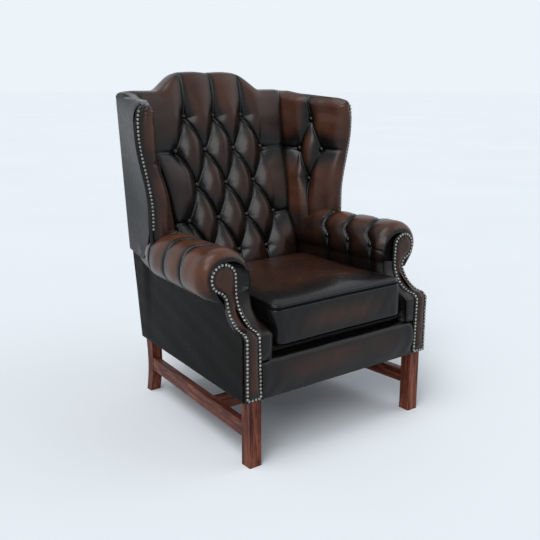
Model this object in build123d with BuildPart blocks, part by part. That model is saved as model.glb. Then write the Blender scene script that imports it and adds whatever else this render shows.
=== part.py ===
"""Wingback chair in buttoned leather on a timber frame.

Millimetres. +X is the right-hand side seen from the front, +Y is the back, +Z is up.
The origin is on the floor under the middle of the chair. Distances called "from the front"
start at the front faces of the front legs.
"""
import os
from math import atan, cos, degrees, hypot, radians, sin

from build123d import *

os.makedirs("parts", exist_ok=True)

# Overall sizes
overall_depth = 804.0        # nail heads on the arm facings to the top of the outside back
overall_height = 1110.0      # floor to the top of the crest
seat_clearance = 207.0       # floor to the underside of the upholstery
frame_half_front = 360.0     # middle to the outside of the frame at the front
frame_half_rear = 308.0      # the same at the rear uprights
top_lean = 106.0             # how much further back the top reaches than the frame at the seat
frame_depth = overall_depth - top_lean    # front leg faces to the frame's rear face at the seat
soft_gap = 0.3               # running gap round soft pieces
cut_over = 400.0             # overrun of cutting bodies

# Legs and stretchers
leg_square = 42.0
leg_inset = 10.0             # frame edge to the outer face of a front leg
leg_edge_round = 2.5
rear_leg_width = 38.0
rear_leg_inset = 6.0
rear_leg_foot_depth = 28.0
rear_leg_hollow = 10.0       # how far the rear edge bends forward half way down
spigot_radius = 9.0
spigot_length = 34.0
stretcher_thickness = 22.0
stretcher_height = 45.0
stretcher_bottom = 86.0
stretcher_inset = 2.0        # leg face to stretcher face
cross_stretcher_share = 0.344    # of the frame's depth
cross_stretcher_place = frame_depth * cross_stretcher_share
tenon_thickness = 11.0
tenon_height = 30.0
tenon_depth = 14.0

# Seat frame
rail_thickness = 25.0
rail_height = 90.0
rail_lift = 2.0              # underside of the upholstery to the rails
front_rail_place = 4.0       # from the front to the front rail
upright_width = 36.0
back_timber = 32.0           # depth of the uprights and of the rails between them
block_leg = 78.0             # side of a triangular corner block
block_height = 44.0
block_drop = 12.0            # rail top to block top
screw_radius = 2.4
screw_head_radius = 5.0
screw_head_height = 3.0
screw_length = 52.0
dust_cover_thickness = 1.5
dust_cover_margin = 4.0

# Arm facing and its scroll, seen from the front
facing_stand = 6.0           # how far the facing stands ahead of the legs
facing_thickness = 8.0
column_inner = 309.0
column_outer = 367.0
ledge_height = 408.0         # top of the column, where the facing sweeps back
nose_drop = 12.0
sweep_radius = 94.0          # the hollow curve from the ledge to the scroll
sweep_centre_place = 8.0
scroll_x = 363.0
scroll_rise = 138.0          # ledge to the centre of the scroll
scroll_z = ledge_height + scroll_rise
scroll_radius = 46.0
scroll_turn = 68.0           # degrees below level where the scroll leaves its circle
neck_x = 361.0
neck_rise = 70.0             # ledge to the narrowest part of the neck
neck_z = ledge_height + neck_rise
post_depth = 43.0
post_board = 45.0
post_inset = 6.0             # facing edge to the post
post_heel = 60.0             # height over which the post's back thickens into the stump

# Arms
arm_rail_height = 40.0
arm_rail_drop = 1.0          # scroll centre to the top of the arm rail
arm_rail_top = scroll_z - arm_rail_drop
arm_rail_in = 45.0
arm_rail_out = 8.0
arm_web_in = 30.0            # frame edge to the lining under the inside arm
tacking_height = 34.0
tacking_in = 28.0
tacking_out = 4.0
arm_inside = 263.0           # middle to the fullest part of the inside arm
arm_roll_rise = 81.0         # scroll centre to the top of the roll
arm_roll_top = scroll_z + arm_roll_rise
arm_roll_out = 82.0          # roll centre to its outermost line
arm_roll_drop = 69.0         # scroll centre to the underside of the roll
arm_roll_under = scroll_z - arm_roll_drop
arm_roll_lip = 30.0          # scroll centre to the outer end of the underside
arm_turn_drop = 46.0         # scroll centre to where the inside arm starts to roll over
arm_roll_turn = scroll_z - arm_turn_drop
arm_tuft_depth = 11.0
arm_front_place = 103.0
arm_first_button = 172.0
arm_button_count = 3
arm_back_set = 98.0          # frame's rear face to the end of the inside arm
arm_back_place = frame_depth - arm_back_set
arm_last_puff = 113.0        # end of the last puff to the end of the inside arm
arm_button_pitch = (arm_back_place - arm_first_button - arm_last_puff) / arm_button_count
arm_front_taper = 32.0       # how far the padding narrows where it meets the facing
arm_swell = 3.0
arm_slant = 22.0             # degrees by which the valleys slant back over the roll
arm_full_share = 0.75
arm_rise_share = 0.7071
arm_lift_share = 0.72
arm_under_share = 0.82
arm_drop_share = 0.58
arm_button_share = 0.3

# Outside panels
panel_thickness = 6.0
back_panel_thickness = 4.0
arm_panel_top = arm_roll_under - arm_rail_drop
outside_run = 116.9          # how far the outside back leans from floor to top
back_half_low = 315.0
back_half_high = 331.0

# Back frame
crest_rail_drop = 110.0
crest_padding = 16.0
crest_flat = 110.0           # half the flat of the crest
crest_slope_width = 110.0
crest_steps = 24
shoulder_drop = 62.0         # top of the crest to its shoulders
shoulder_height = overall_height - shoulder_drop
lower_rail_height = 60.0
lower_rail_bottom = 365.0
webbing_width = 50.0
webbing_thickness = 1.2
webbing_columns = 5
webbing_rows = 5

# Inside back and its buttons
back_buttons_x = 120.0       # pitch across
back_rows = 5
lowest_row = 505.0
top_row_drop = 146.0         # top of the crest to the highest row of buttons
row_pitch = (overall_height - lowest_row - top_row_drop) / (back_rows - 1)
lowest_row_set = 153.0       # frame's rear face to the lowest buttons
lowest_row_place = frame_depth - lowest_row_set
inside_run = 211.1           # how far the inside back leans from the lowest row to the top
inside_slope = inside_run / (overall_height - lowest_row)
foot_slope = 0.06            # the same below the lowest row, behind the cushion
puff_depth = 37.0
crease_lift = 12.0
button_flat = 14.0
button_dish = 0.8
back_foot = 345.0
crest_roll = 36.0
crest_rear_round = 7.0
back_half_foot = 256.0
back_half_shoulder = 318.0
side_pleat_lift = 14.0
side_puff = 28.0

# Wings
wing_rise = 84.0             # scroll centre to the foot of the wing
wing_foot = scroll_z + wing_rise
wing_rear_drop = 64.0        # top of the crest to the wing's top line at the rear
wing_top_rear = overall_height - wing_rear_drop
wing_front_drop = 85.0       # the same at the front
wing_top_front = overall_height - wing_front_drop
wing_front_set = 249.0       # frame's rear face to the front of the wing
wing_front_place = frame_depth - wing_front_set
wing_flare_low = 390.0       # middle to the nail line at the foot of the wing
wing_flare = 40.0            # how much wider the wing is at the top
wing_flare_rise = 50.0       # foot of the wing to where it starts to flare
wing_flare_start = wing_foot + wing_flare_rise
wing_flare_drop = 160.0      # top of the crest to where the flare ends
wing_flare_height = overall_height - wing_flare_drop - wing_flare_start
wing_rear_x = 331.0
wing_roll_width = 48.0
wing_roll_front = 14.0
wing_puff = 20.0
wing_button_rise = 101.0     # foot of the wing to its lowest button
wing_button_low = wing_foot + wing_button_rise
wing_button_drop = 165.0     # top of the crest to the highest button of the wing
wing_button_pitch = (overall_height - wing_button_drop - wing_button_low) / 2
wing_corner_round = 46.0
wing_post_width = 44.0
wing_post_thickness = 22.0
wing_lip = 5.0
wing_nail_margin = 10.0      # nail line to the outer edge of the wing
wing_shoulder = 60.0         # height over which the top outer corner rounds
wing_shoulder_in = 34.0      # how far it rounds in
wing_rail_height = 40.0
wing_rail_drop = 155.0       # top of the crest to the wing's top rail
wing_rail_top = overall_height - wing_rail_drop
wing_panel_drop = 26.0       # scroll centre to the foot of the outside wing
wing_panel_foot = scroll_z - wing_panel_drop
wing_panel_gap = 12.0
wing_sweep_set = 132.0       # frame's rear face to where the outside wing reaches its foot
wing_sweep_place = frame_depth - wing_sweep_set
wing_sweep_share = 0.3
wing_drop_share = 0.62
wing_top_drop = 14.0
wing_margin_step = 3.0
wing_nail_seat = 4.0         # flat leather outside the nails
wing_edge_depth = 9.0       # how far back the leather slopes before the outer edge
wing_slope_share = 0.55
wing_draw_shares = (0.0, 0.06, 0.18, 0.42)    # how far the top sections draw in
wing_crease_lift = 9.0
wing_least_swell = 1.0
crease_set_back = 25.0       # button line to the crease between back and wing

# Seat
spring_count = 5
spring_wire = 1.9            # radius
spring_turn = 11.0            # radius of the bends
spring_half_width = 24.0
spring_over = 1.0            # how far a spring's end passes its clip
clip_width = 22.0
clip_depth = 15.0
clip_height = 7.5
clip_floor = 1.5
deck_top = 344.7
deck_half = 303.0
border_face = 5.0            # how far the front border stands ahead of the legs
border_top = 322.0
border_round = 22.0
border_over = 43.0           # from the front to the back edge of the border's top

# Seat cushion
cushion_half = 249.5
cushion_front = 9.0
cushion_set = 209.0          # frame's rear face to the back of the cushion
cushion_rear = frame_depth - cushion_set
cushion_height = 122.0
cushion_crown = 18.0
cushion_belly = 4.5          # how far the boxed sides swell
cushion_corner = 26.0
cushion_pull = 6.0           # how far the edges draw in between the corners
welt_radius = 3.6
welt_sweep = 900.0           # bend of the welt where the side is drawn in
cushion_corner_share = 0.3

# Nails and buttons
nail_head_radius = 4.0
nail_head_height = 2.2
nail_shank_radius = 0.9
nail_shank = 9.0
nail_inset = 6.0
nail_pitch = 11.6
button_radius = 8.0
button_height = 5.0
button_round_share = 0.8
pocket_length = 60.0         # how far a button's pocket reaches out of the padding

front_y = -overall_depth / 2 + facing_stand + nail_head_height
side_slope = (frame_half_front - frame_half_rear) / frame_depth
rail_bottom = seat_clearance + rail_lift
rail_top = rail_bottom + rail_height
back_slope = outside_run / (overall_height - crest_rear_round)
rear_leg_half = frame_half_rear - rear_leg_inset
front_leg_half = frame_half_front - leg_inset


def place(distance):
    """Y of something measured from the front."""
    return front_y + distance


def side_x(y):
    """Outside of the seat frame at a given Y."""
    return frame_half_front - (y - front_y) * side_slope


def ease(share):
    """Smooth step from 0 to 1."""
    t = min(max(share, 0.0), 1.0)
    return t * t * (3 - 2 * t)


def outside_back_y(z):
    """Rear face of the outside back."""
    return overall_depth / 2 - back_slope * (overall_height - crest_rear_round - z)


def frame_back_y(z):
    """Rear face of the timber back, just inside its leather."""
    return outside_back_y(z) - back_panel_thickness


def back_lining_y(z):
    """Front of the back frame and its webbing."""
    return frame_back_y(z) - back_timber - 2 * webbing_thickness - 2 * soft_gap


def button_y(z):
    """Depth line of the inside back, where the buttons are pulled in."""
    rise = z - lowest_row
    return place(lowest_row_place) + rise * (inside_slope if rise > 0 else foot_slope)


def crest_z(x):
    """Top of the camel-shaped crest across the back."""
    rise = overall_height - shoulder_height
    return overall_height - rise * ease((abs(x) - crest_flat) / crest_slope_width)


def back_half(z):
    """Half width of the inside back between the arms and the wings."""
    share = (z - wing_foot) / (shoulder_height - wing_foot)
    return back_half_foot + (back_half_shoulder - back_half_foot) * min(max(share, 0.0), 1.0)


def wing_nail_x(z):
    """Nail line on the front edge of a wing."""
    flared = wing_flare_low + wing_flare * ease((z - wing_flare_start) / wing_flare_height)
    climb = min(max((z - wing_top_front + wing_shoulder) / wing_shoulder, 0.0), 1.0)
    return flared - wing_shoulder_in * (1 - (1 - climb**2) ** 0.5)


def write(shape, name):
    shape.label = name
    export_step(shape, f"parts/{name}.step")


def write_pair(shape, name):
    write(shape, name + "_right")
    write(mirror(shape, about=Plane.YZ), name + "_left")


def across(x):
    """Vertical plane seen from the side: its axes are Y and Z."""
    return Plane.YZ.offset(x)


def upright_plane(y):
    """Vertical plane seen from the front: its axes are X and Z."""
    return Plane(origin=(0, y, 0), x_dir=(1, 0, 0), z_dir=(0, -1, 0))


# Front legs: plain square posts with a spigot into the arm post above
front_leg_x = front_leg_half - leg_square / 2
front_leg_y = place(leg_square / 2)
with BuildPart() as front_leg_blank:
    with BuildSketch():
        with Locations((front_leg_x, front_leg_y)):
            Rectangle(leg_square, leg_square)
    extrude(amount=seat_clearance)
    fillet(front_leg_blank.edges().filter_by(Axis.Z), leg_edge_round)

# Rear legs: a slight sabre bend, kicked back at the foot
rear_leg_x = rear_leg_half - rear_leg_width / 2
rear_top_back = place(frame_depth)
rear_foot_back = place(frame_depth + rear_leg_inset)
rear_middle = seat_clearance / 2
with BuildPart() as rear_leg_blank:
    with BuildSketch(across(rear_leg_half - rear_leg_width)):
        with BuildLine():
            top_back = (rear_top_back, seat_clearance)
            top_front = (rear_top_back - rear_leg_width, seat_clearance)
            foot_back = (rear_foot_back, 0)
            foot_front = (rear_foot_back - rear_leg_foot_depth, 0)
            bend_back = (rear_top_back - rear_leg_hollow, rear_middle)
            bend_front = (bend_back[0] - (rear_leg_width + rear_leg_foot_depth) / 2, rear_middle)
            ThreePointArc(foot_back, bend_back, top_back)
            Line(top_back, top_front)
            ThreePointArc(top_front, bend_front, foot_front)
            Line(foot_front, foot_back)
        make_face()
    extrude(amount=rear_leg_width)

# Side stretchers: tenoned into both legs
tenon_base = stretcher_bottom + (stretcher_height - tenon_height) / 2
stretcher_front_y = front_leg_y
stretcher_rear_y = place(frame_depth) - rear_leg_width
outer_front = front_leg_half - stretcher_inset
outer_rear = rear_leg_half - stretcher_inset
stretcher_slope = (outer_front - outer_rear) / (stretcher_rear_y - stretcher_front_y)


def stretcher_x(y):
    """Outer face of a side stretcher."""
    return outer_front - (y - stretcher_front_y) * stretcher_slope


def stretcher_strip(inset, thickness, start, end):
    """Corners, in plan, of a bar that follows the side stretcher's line."""
    return (
        (stretcher_x(start) - inset, start),
        (stretcher_x(end) - inset, end),
        (stretcher_x(end) - inset - thickness, end),
        (stretcher_x(start) - inset - thickness, start),
    )


tenon_inset = (stretcher_thickness - tenon_thickness) / 2
tenon_start = place(leg_square - tenon_depth)
tenon_end = place(frame_depth) - rear_leg_width + tenon_depth
with BuildPart() as side_tenon:
    with BuildSketch(Plane.XY.offset(tenon_base)):
        with BuildLine():
            Polyline(*stretcher_strip(tenon_inset, tenon_thickness, tenon_start, tenon_end), close=True)
        make_face()
    extrude(amount=tenon_height)

with BuildPart() as side_stretcher_blank:
    with BuildSketch(Plane.XY.offset(stretcher_bottom)):
        with BuildLine():
            Polyline(*stretcher_strip(0, stretcher_thickness, stretcher_front_y, rear_top_back), close=True)
        make_face()
    extrude(amount=stretcher_height)
    add(front_leg_blank.part, mode=Mode.SUBTRACT)
    with BuildSketch(Plane.XY.offset(stretcher_bottom)):
        with Locations((rear_leg_x, rear_top_back + cut_over / 2)):
            Rectangle(cut_over, cut_over)
    extrude(amount=stretcher_height, mode=Mode.SUBTRACT)
    add(rear_leg_blank.part, mode=Mode.SUBTRACT)
    side_bar = side_stretcher_blank.solids().sort_by(SortBy.VOLUME)[-1]

# Cross stretcher between the two side stretchers
cross_y = place(cross_stretcher_place)
with BuildPart() as cross_tenon:
    with BuildSketch(Plane.XY.offset(tenon_base)):
        with Locations((0, cross_y)):
            Rectangle(2 * (stretcher_x(cross_y) - tenon_inset), tenon_thickness)
    extrude(amount=tenon_height)

with BuildPart() as side_stretcher:
    add(side_bar)
    add(side_tenon.part)
    add(cross_tenon.part, mode=Mode.SUBTRACT)

with BuildPart() as cross_stretcher:
    with BuildSketch(Plane.XY.offset(stretcher_bottom)):
        with Locations((0, cross_y)):
            Rectangle(2 * stretcher_x(cross_y) - stretcher_thickness, stretcher_thickness)
    extrude(amount=stretcher_height)
    add(side_bar, mode=Mode.SUBTRACT)
    add(mirror(side_bar, about=Plane.YZ, mode=Mode.PRIVATE), mode=Mode.SUBTRACT)
    add(cross_tenon.part)

with BuildPart() as front_leg:
    add(front_leg_blank.part)
    add(side_tenon.part, mode=Mode.SUBTRACT)
    with Locations((front_leg_x, front_leg_y, seat_clearance)):
        Cylinder(spigot_radius, spigot_length, align=(Align.CENTER, Align.CENTER, Align.MIN))

with BuildPart() as rear_leg:
    add(rear_leg_blank.part)
    add(side_tenon.part, mode=Mode.SUBTRACT)
    with Locations((rear_leg_x, rear_top_back - rear_leg_width / 2, seat_clearance)):
        Cylinder(spigot_radius, spigot_length, align=(Align.CENTER, Align.CENTER, Align.MIN))

write_pair(front_leg.part, "front_leg")
write_pair(rear_leg.part, "rear_leg")
write_pair(side_stretcher.part, "side_stretcher")
write(cross_stretcher.part, "cross_stretcher")

# Scroll-shaped outline of the arm front, for the facing, its nails and the post behind it
scroll_exit = radians(scroll_turn)


def scroll_points(inset, foot):
    """Named corners of the arm front's outline, drawn in by an inset, from a foot height up."""
    radius = scroll_radius - inset
    return {
        "inner_foot": (column_inner + inset, foot),
        "inner_scroll": (scroll_x - radius, scroll_z),
        "top": (scroll_x, scroll_z + radius),
        "outer_scroll": (scroll_x + radius, scroll_z),
        "under": (scroll_x + radius * cos(scroll_exit), scroll_z - radius * sin(scroll_exit)),
        "neck": (neck_x - inset, neck_z),
        "shoulder": (column_outer - inset, ledge_height),
        "outer_foot": (column_outer - inset, foot),
    }


def scroll_outline(inset, foot):
    """Closed outline of the arm front in X and Z."""
    p = scroll_points(inset, foot)
    with BuildLine() as outline:
        Line(p["inner_foot"], p["inner_scroll"])
        ThreePointArc(p["inner_scroll"], p["top"], p["outer_scroll"])
        RadiusArc(p["outer_scroll"], p["under"], scroll_radius - inset)
        TangentArc(p["under"], p["neck"], tangent=(-sin(scroll_exit), -cos(scroll_exit)))
        Line(p["neck"], p["shoulder"])
        Line(p["shoulder"], p["outer_foot"])
        Line(p["outer_foot"], p["inner_foot"])
    return outline.wires()[0]


# Side view of the arm front: a column, a ledge, then a hollow curve up to the scroll
sweep_centre = (place(sweep_centre_place), ledge_height + sweep_radius)
sweep_half = radians(45)


def front_line_points(depth):
    """Corners of the arm front's side view, at a depth behind the leather."""
    face = front_y - facing_stand + depth
    radius = sweep_radius + depth
    return {
        "foot": (face, seat_clearance),
        "nose": (face, ledge_height - nose_drop - depth),
        "ledge": (sweep_centre[0], ledge_height - depth),
        "middle": (
            sweep_centre[0] + radius * sin(sweep_half),
            sweep_centre[1] - radius * cos(sweep_half),
        ),
        "upright": (sweep_centre[0] + radius, sweep_centre[1]),
        "top": (sweep_centre[0] + radius, overall_height),
    }


def front_line(depth):
    """Side view line of the arm front from foot to top."""
    p = front_line_points(depth)
    with BuildLine() as line:
        Line(p["foot"], p["nose"])
        Line(p["nose"], p["ledge"])
        ThreePointArc(p["ledge"], p["middle"], p["upright"])
        Line(p["upright"], p["top"])
    return line.wires()[0]


def front_band(depth, reach):
    """Region of the side view between one depth and a place further back."""
    p = front_line_points(depth)
    with BuildSketch(across(0)) as band:
        with BuildLine():
            Line(p["foot"], p["nose"])
            Line(p["nose"], p["ledge"])
            ThreePointArc(p["ledge"], p["middle"], p["upright"])
            Line(p["upright"], p["top"])
            Polyline(p["top"], (reach, overall_height), (reach, seat_clearance), p["foot"])
        make_face()
    return band.sketch


with BuildPart() as ahead_of_facing:
    extrude(front_band(facing_thickness, place(frame_depth)), amount=cut_over + cut_over)

with BuildPart() as arm_facing:
    with BuildSketch(upright_plane(place(frame_depth))):
        add(scroll_outline(0, seat_clearance))
        make_face()
    extrude(amount=2 * frame_depth)
    extrude(front_band(0, place(frame_depth)), amount=cut_over + cut_over, mode=Mode.INTERSECT)
    add(ahead_of_facing.part, mode=Mode.SUBTRACT)

# Everything outside the seat frame's side, up to the top of the outside arm
def side_strip(outer, inner, start, end):
    """Corners, in plan, of a strip that follows the frame's side, inside its outer face."""
    return (
        (side_x(start) - outer, start),
        (side_x(end) - outer, end),
        (side_x(end) - inner, end),
        (side_x(start) - inner, start),
    )


with BuildPart() as outside_frame:
    with BuildSketch():
        with BuildLine():
            Polyline(*side_strip(-cut_over, 0, place(-cut_over), place(frame_depth + cut_over)), close=True)
        make_face()
    extrude(amount=arm_panel_top)

# Arm post: the same scroll, cut a little smaller from thick board
post_back = place(post_depth)
stump_back = sweep_centre[0] + sweep_radius + facing_thickness + post_board
with BuildPart() as arm_post:
    with BuildSketch(upright_plane(place(frame_depth))):
        add(scroll_outline(post_inset, seat_clearance))
        make_face()
    extrude(amount=2 * frame_depth)
    with BuildSketch(across(0)):
        with BuildLine():
            Polyline(
                (front_y - cut_over, seat_clearance),
                (post_back, seat_clearance),
                (post_back, ledge_height - post_heel),
                (stump_back, ledge_height),
                (stump_back, overall_height),
                (front_y - cut_over, overall_height),
                close=True,
            )
        make_face()
    extrude(amount=cut_over + cut_over, mode=Mode.INTERSECT)
    add(ahead_of_facing.part, mode=Mode.INTERSECT)
    add(outside_frame.part, mode=Mode.SUBTRACT)
    add(front_leg.part, mode=Mode.SUBTRACT)

# Seat rails
post_inner_x = column_inner + post_inset
front_rail_front = place(front_rail_place)
front_rail_back = front_rail_front + rail_thickness
back_rail_rear = frame_back_y(rail_bottom)
back_rail_front = back_rail_rear - rail_thickness
upright_front = rear_top_back - back_timber
with BuildPart() as front_seat_rail:
    with BuildSketch(Plane.XY.offset(rail_bottom)):
        with Locations((0, front_rail_front + rail_thickness / 2)):
            Rectangle(2 * post_inner_x, rail_thickness)
    extrude(amount=rail_height)

with BuildPart() as side_seat_rail:
    with BuildSketch(Plane.XY.offset(rail_bottom)):
        with BuildLine():
            Polyline(*side_strip(0, rail_thickness, post_back, upright_front), close=True)
        make_face()
    extrude(amount=rail_height)

upright_inner = frame_half_rear - upright_width
with BuildPart() as back_seat_rail:
    with BuildSketch(Plane.XY.offset(rail_bottom)):
        with Locations((0, back_rail_front + rail_thickness / 2)):
            Rectangle(2 * upright_inner, rail_thickness)
    extrude(amount=rail_height)

# Back uprights: raked back and leaning slightly outwards, doweled on to the rear legs
upright_top = shoulder_height - crest_padding - crest_rail_drop / 2
upright_lean = (back_half_high - back_half_low) * (upright_top - seat_clearance)
upright_lean /= shoulder_height - seat_clearance


def upright_rectangle(z, lean):
    """Section of an upright at a height: its corners in plan."""
    rear = frame_back_y(z)
    outer = frame_half_rear + lean
    return (
        (outer, rear),
        (outer - upright_width, rear),
        (outer - upright_width, rear - back_timber),
        (outer, rear - back_timber),
    )


with BuildPart() as back_upright:
    for height, lean in ((seat_clearance, 0), (upright_top, upright_lean)):
        with BuildSketch(Plane.XY.offset(height)):
            with BuildLine():
                Polyline(*upright_rectangle(height, lean), close=True)
            make_face()
    loft(ruled=True)
    add(rear_leg.part, mode=Mode.SUBTRACT)
    add(side_seat_rail.part, mode=Mode.SUBTRACT)
    add(back_seat_rail.part, mode=Mode.SUBTRACT)

write_pair(arm_facing.part, "arm_facing")
write_pair(arm_post.part, "arm_post")
write(front_seat_rail.part, "front_seat_rail")
write(back_seat_rail.part, "back_seat_rail")
write_pair(side_seat_rail.part, "side_seat_rail")
write_pair(back_upright.part, "back_upright")


# Inside back: deep buttoning in diamonds. Its upright sections alternate between columns with
# buttons in rows 1, 3 and 5 and columns with buttons in rows 2 and 4. A puff that is widest in
# one column narrows to a button in the next, so the creases run diagonally between buttons.
rows = [lowest_row + row_pitch * i for i in range(back_rows)]
half_flat = button_flat / 2
half_pitch = back_buttons_x / 2
last_column = back_buttons_x + half_pitch
side_start = last_column + button_flat
side_end = back_half_shoulder + button_flat
side_middle = (side_start + side_end) / 2


def odd_creases(top):
    """Heights where creases cross a column with buttons in rows 1, 3 and 5."""
    return [rows[i] + half_flat * side for i in (0, 2, 4) for side in (-1, 1)]


def even_creases(top):
    """The same for a column with buttons in rows 2 and 4."""
    flats = [rows[i] + half_flat * side for i in (1, 3) for side in (-1, 1)]
    return [rows[0] - row_pitch + half_flat] + flats + [top - half_flat]


def mixed_creases(top):
    """The same half way between two columns."""
    return [(a + b) / 2 for a, b in zip(odd_creases(top), even_creases(top))]


# For each kind of column: creases, how far each end and crease stands ahead of the button line,
# and how far each stretch between them swells, from the foot to the crest
lean_puff_share = 0.62
end_puff_share = 0.27
puff = puff_depth
lean_puff = puff_depth * lean_puff_share
end_puff = puff_depth * end_puff_share
dish = -button_dish
lift = crease_lift
foot_lift = crease_lift * 2
odd_column = (
    odd_creases,
    [foot_lift, 0, 0, 0, 0, 0, 0, lift],
    [end_puff, dish, puff, dish, puff, dish, end_puff],
)
even_column = (
    even_creases,
    [foot_lift, lift, 0, 0, 0, 0, foot_lift, foot_lift],
    [button_dish, puff, dish, puff, dish, puff, button_dish],
)
mixed_column = (
    mixed_creases,
    [foot_lift, lift, lift, lift, lift, lift, lift, foot_lift],
    [end_puff, lean_puff, lean_puff, lean_puff, lean_puff, lean_puff, end_puff],
)
side_column = (
    even_creases,
    [foot_lift, lift] + [side_pleat_lift] * 4 + [foot_lift, foot_lift],
    [button_dish, side_puff / 2, dish, side_puff / 2, dish, side_puff / 2, button_dish],
)
columns = []
for step, kind in enumerate((odd_column, mixed_column, even_column, mixed_column)):
    for turn in (0, 1):
        x = (step + 4 * turn) * half_pitch / 2
        if x <= last_column:
            columns.append((x, kind))
columns += [(side_start, side_column), (side_middle, side_column), (side_end, side_column)]
columns += [(-x, kind) for x, kind in columns if x > 0]
columns.sort(key=lambda column: column[0])


def back_front_points(x, kind):
    """Front of the inside back at one column: its points and the middle of each swell."""
    creases, lifts, swells = kind
    top = crest_z(x) - crest_roll
    heights = [back_foot] + creases(top) + [top]
    points = [(button_y(z) - ahead, z) for z, ahead in zip(heights, lifts)]
    middles = []
    for low, high, swell in zip(points, points[1:], swells):
        middles.append(((low[0] + high[0]) / 2 - swell, (low[1] + high[1]) / 2))
    return points, middles


forward, backward = (-1, 0), (1, 0)
with BuildPart() as inside_back_pad:
    for x, kind in columns:
        points, middles = back_front_points(x, kind)
        crest = crest_z(x)
        rear_top = (frame_back_y(crest - crest_rear_round), crest - crest_rear_round)
        crown = ((points[-1][0] + rear_top[0]) / 2, crest)
        rail_line = crest - crest_padding
        with BuildSketch(across(x)):
            with BuildLine():
                for low, middle, high in zip(points, middles, points[1:]):
                    ThreePointArc(low, middle, high)
                TangentArc(crown, points[-1], tangent=forward)
                TangentArc(crown, rear_top, tangent=backward)
                Polyline(
                    rear_top,
                    (frame_back_y(rail_line), rail_line),
                    (back_lining_y(rail_line), rail_line),
                    (back_lining_y(back_foot), back_foot),
                    points[0],
                )
            make_face()
    loft(ruled=True)
    with BuildSketch(upright_plane(overall_depth)):
        with BuildLine():
            Polyline(
                (-back_half_foot, back_foot),
                (back_half_foot, back_foot),
                (back_half_foot, wing_foot),
                (back_half_shoulder, shoulder_height),
                (back_half_shoulder, overall_height),
                (-back_half_shoulder, overall_height),
                (-back_half_shoulder, shoulder_height),
                (-back_half_foot, wing_foot),
                close=True,
            )
        make_face()
    extrude(amount=2 * overall_depth, mode=Mode.INTERSECT)


# Slabs parallel to the outside back, for the pieces of the timber back
def back_slab(front, rear):
    """Side view of a slab between two distances ahead of the timber's rear face."""
    with BuildSketch(across(-cut_over)) as slab:
        with BuildLine():
            Polyline(
                (frame_back_y(seat_clearance) - rear, seat_clearance),
                (frame_back_y(overall_height) - rear, overall_height),
                (frame_back_y(overall_height) - front, overall_height),
                (frame_back_y(seat_clearance) - front, seat_clearance),
                close=True,
            )
        make_face()
    return extrude(slab.sketch, amount=2 * cut_over, mode=Mode.PRIVATE)


def crest_curve(drop, half):
    """Points along the crest, lowered by a drop, from one side to the other."""
    spots = [half * (2 * i / crest_steps - 1) for i in range(crest_steps + 1)]
    return [(x, crest_z(x) - drop) for x in spots]


def lean_half(z):
    """Half width of the outside back at a height."""
    share = (z - seat_clearance) / (shoulder_height - seat_clearance)
    return back_half_low + (back_half_high - back_half_low) * share


with BuildPart() as outside_back_panel:
    with BuildSketch(upright_plane(overall_depth)):
        with BuildLine():
            curve = crest_curve(crest_rear_round, back_half_high)
            Spline(*curve)
            Polyline(
                curve[-1],
                (lean_half(seat_clearance), seat_clearance),
                (-lean_half(seat_clearance), seat_clearance),
                curve[0],
            )
        make_face()
    extrude(amount=2 * overall_depth)
    add(back_slab(0, -back_panel_thickness), mode=Mode.INTERSECT)

with BuildPart() as crest_rail:
    with BuildSketch(upright_plane(overall_depth)):
        with BuildLine():
            rail_half = frame_half_rear + upright_lean
            curve = crest_curve(crest_padding + soft_gap, rail_half)
            Spline(*curve)
            Polyline(curve[-1], (rail_half, upright_top), (-rail_half, upright_top), curve[0])
        make_face()
    extrude(amount=2 * overall_depth)
    add(back_slab(back_timber, 0), mode=Mode.INTERSECT)

with BuildPart() as lower_back_rail:
    with BuildSketch(upright_plane(overall_depth)):
        with Locations((0, lower_rail_bottom + lower_rail_height / 2)):
            Rectangle(2 * frame_half_rear, lower_rail_height)
    extrude(amount=2 * overall_depth)
    add(back_slab(back_timber, 0), mode=Mode.INTERSECT)
    add(back_upright.part, mode=Mode.SUBTRACT)
    add(mirror(back_upright.part, about=Plane.YZ, mode=Mode.PRIVATE), mode=Mode.SUBTRACT)
    with BuildSketch(upright_plane(overall_depth)):
        with Locations((0, lower_rail_bottom + lower_rail_height / 2)):
            Rectangle(2 * upright_inner + upright_width, lower_rail_height)
    extrude(amount=2 * overall_depth, mode=Mode.INTERSECT)

# Webbing tacked across the timber back: upright straps, then level ones in front of them
web_foot = lower_rail_bottom + lower_rail_height / 2
web_top = upright_top + webbing_width
web_back = back_timber + soft_gap
web_front = web_back + webbing_thickness
with BuildPart() as back_webbing:
    with BuildSketch(upright_plane(overall_depth)):
        with Locations((0, (web_foot + web_top) / 2)):
            with GridLocations(2 * upright_inner / webbing_columns, 0, webbing_columns, 1):
                Rectangle(webbing_width, web_top - web_foot)
    extrude(amount=2 * overall_depth)
    add(back_slab(web_front, web_back), mode=Mode.INTERSECT)
with BuildPart() as level_webbing:
    with BuildSketch(upright_plane(overall_depth)):
        with Locations((0, (web_foot + upright_top) / 2)):
            with GridLocations(0, (upright_top - web_foot) / webbing_rows, 1, webbing_rows):
                Rectangle(2 * (frame_half_rear - upright_width / 2 - soft_gap), webbing_width)
    extrude(amount=2 * overall_depth)
    add(back_slab(web_front + webbing_thickness, web_front), mode=Mode.INTERSECT)

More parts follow.
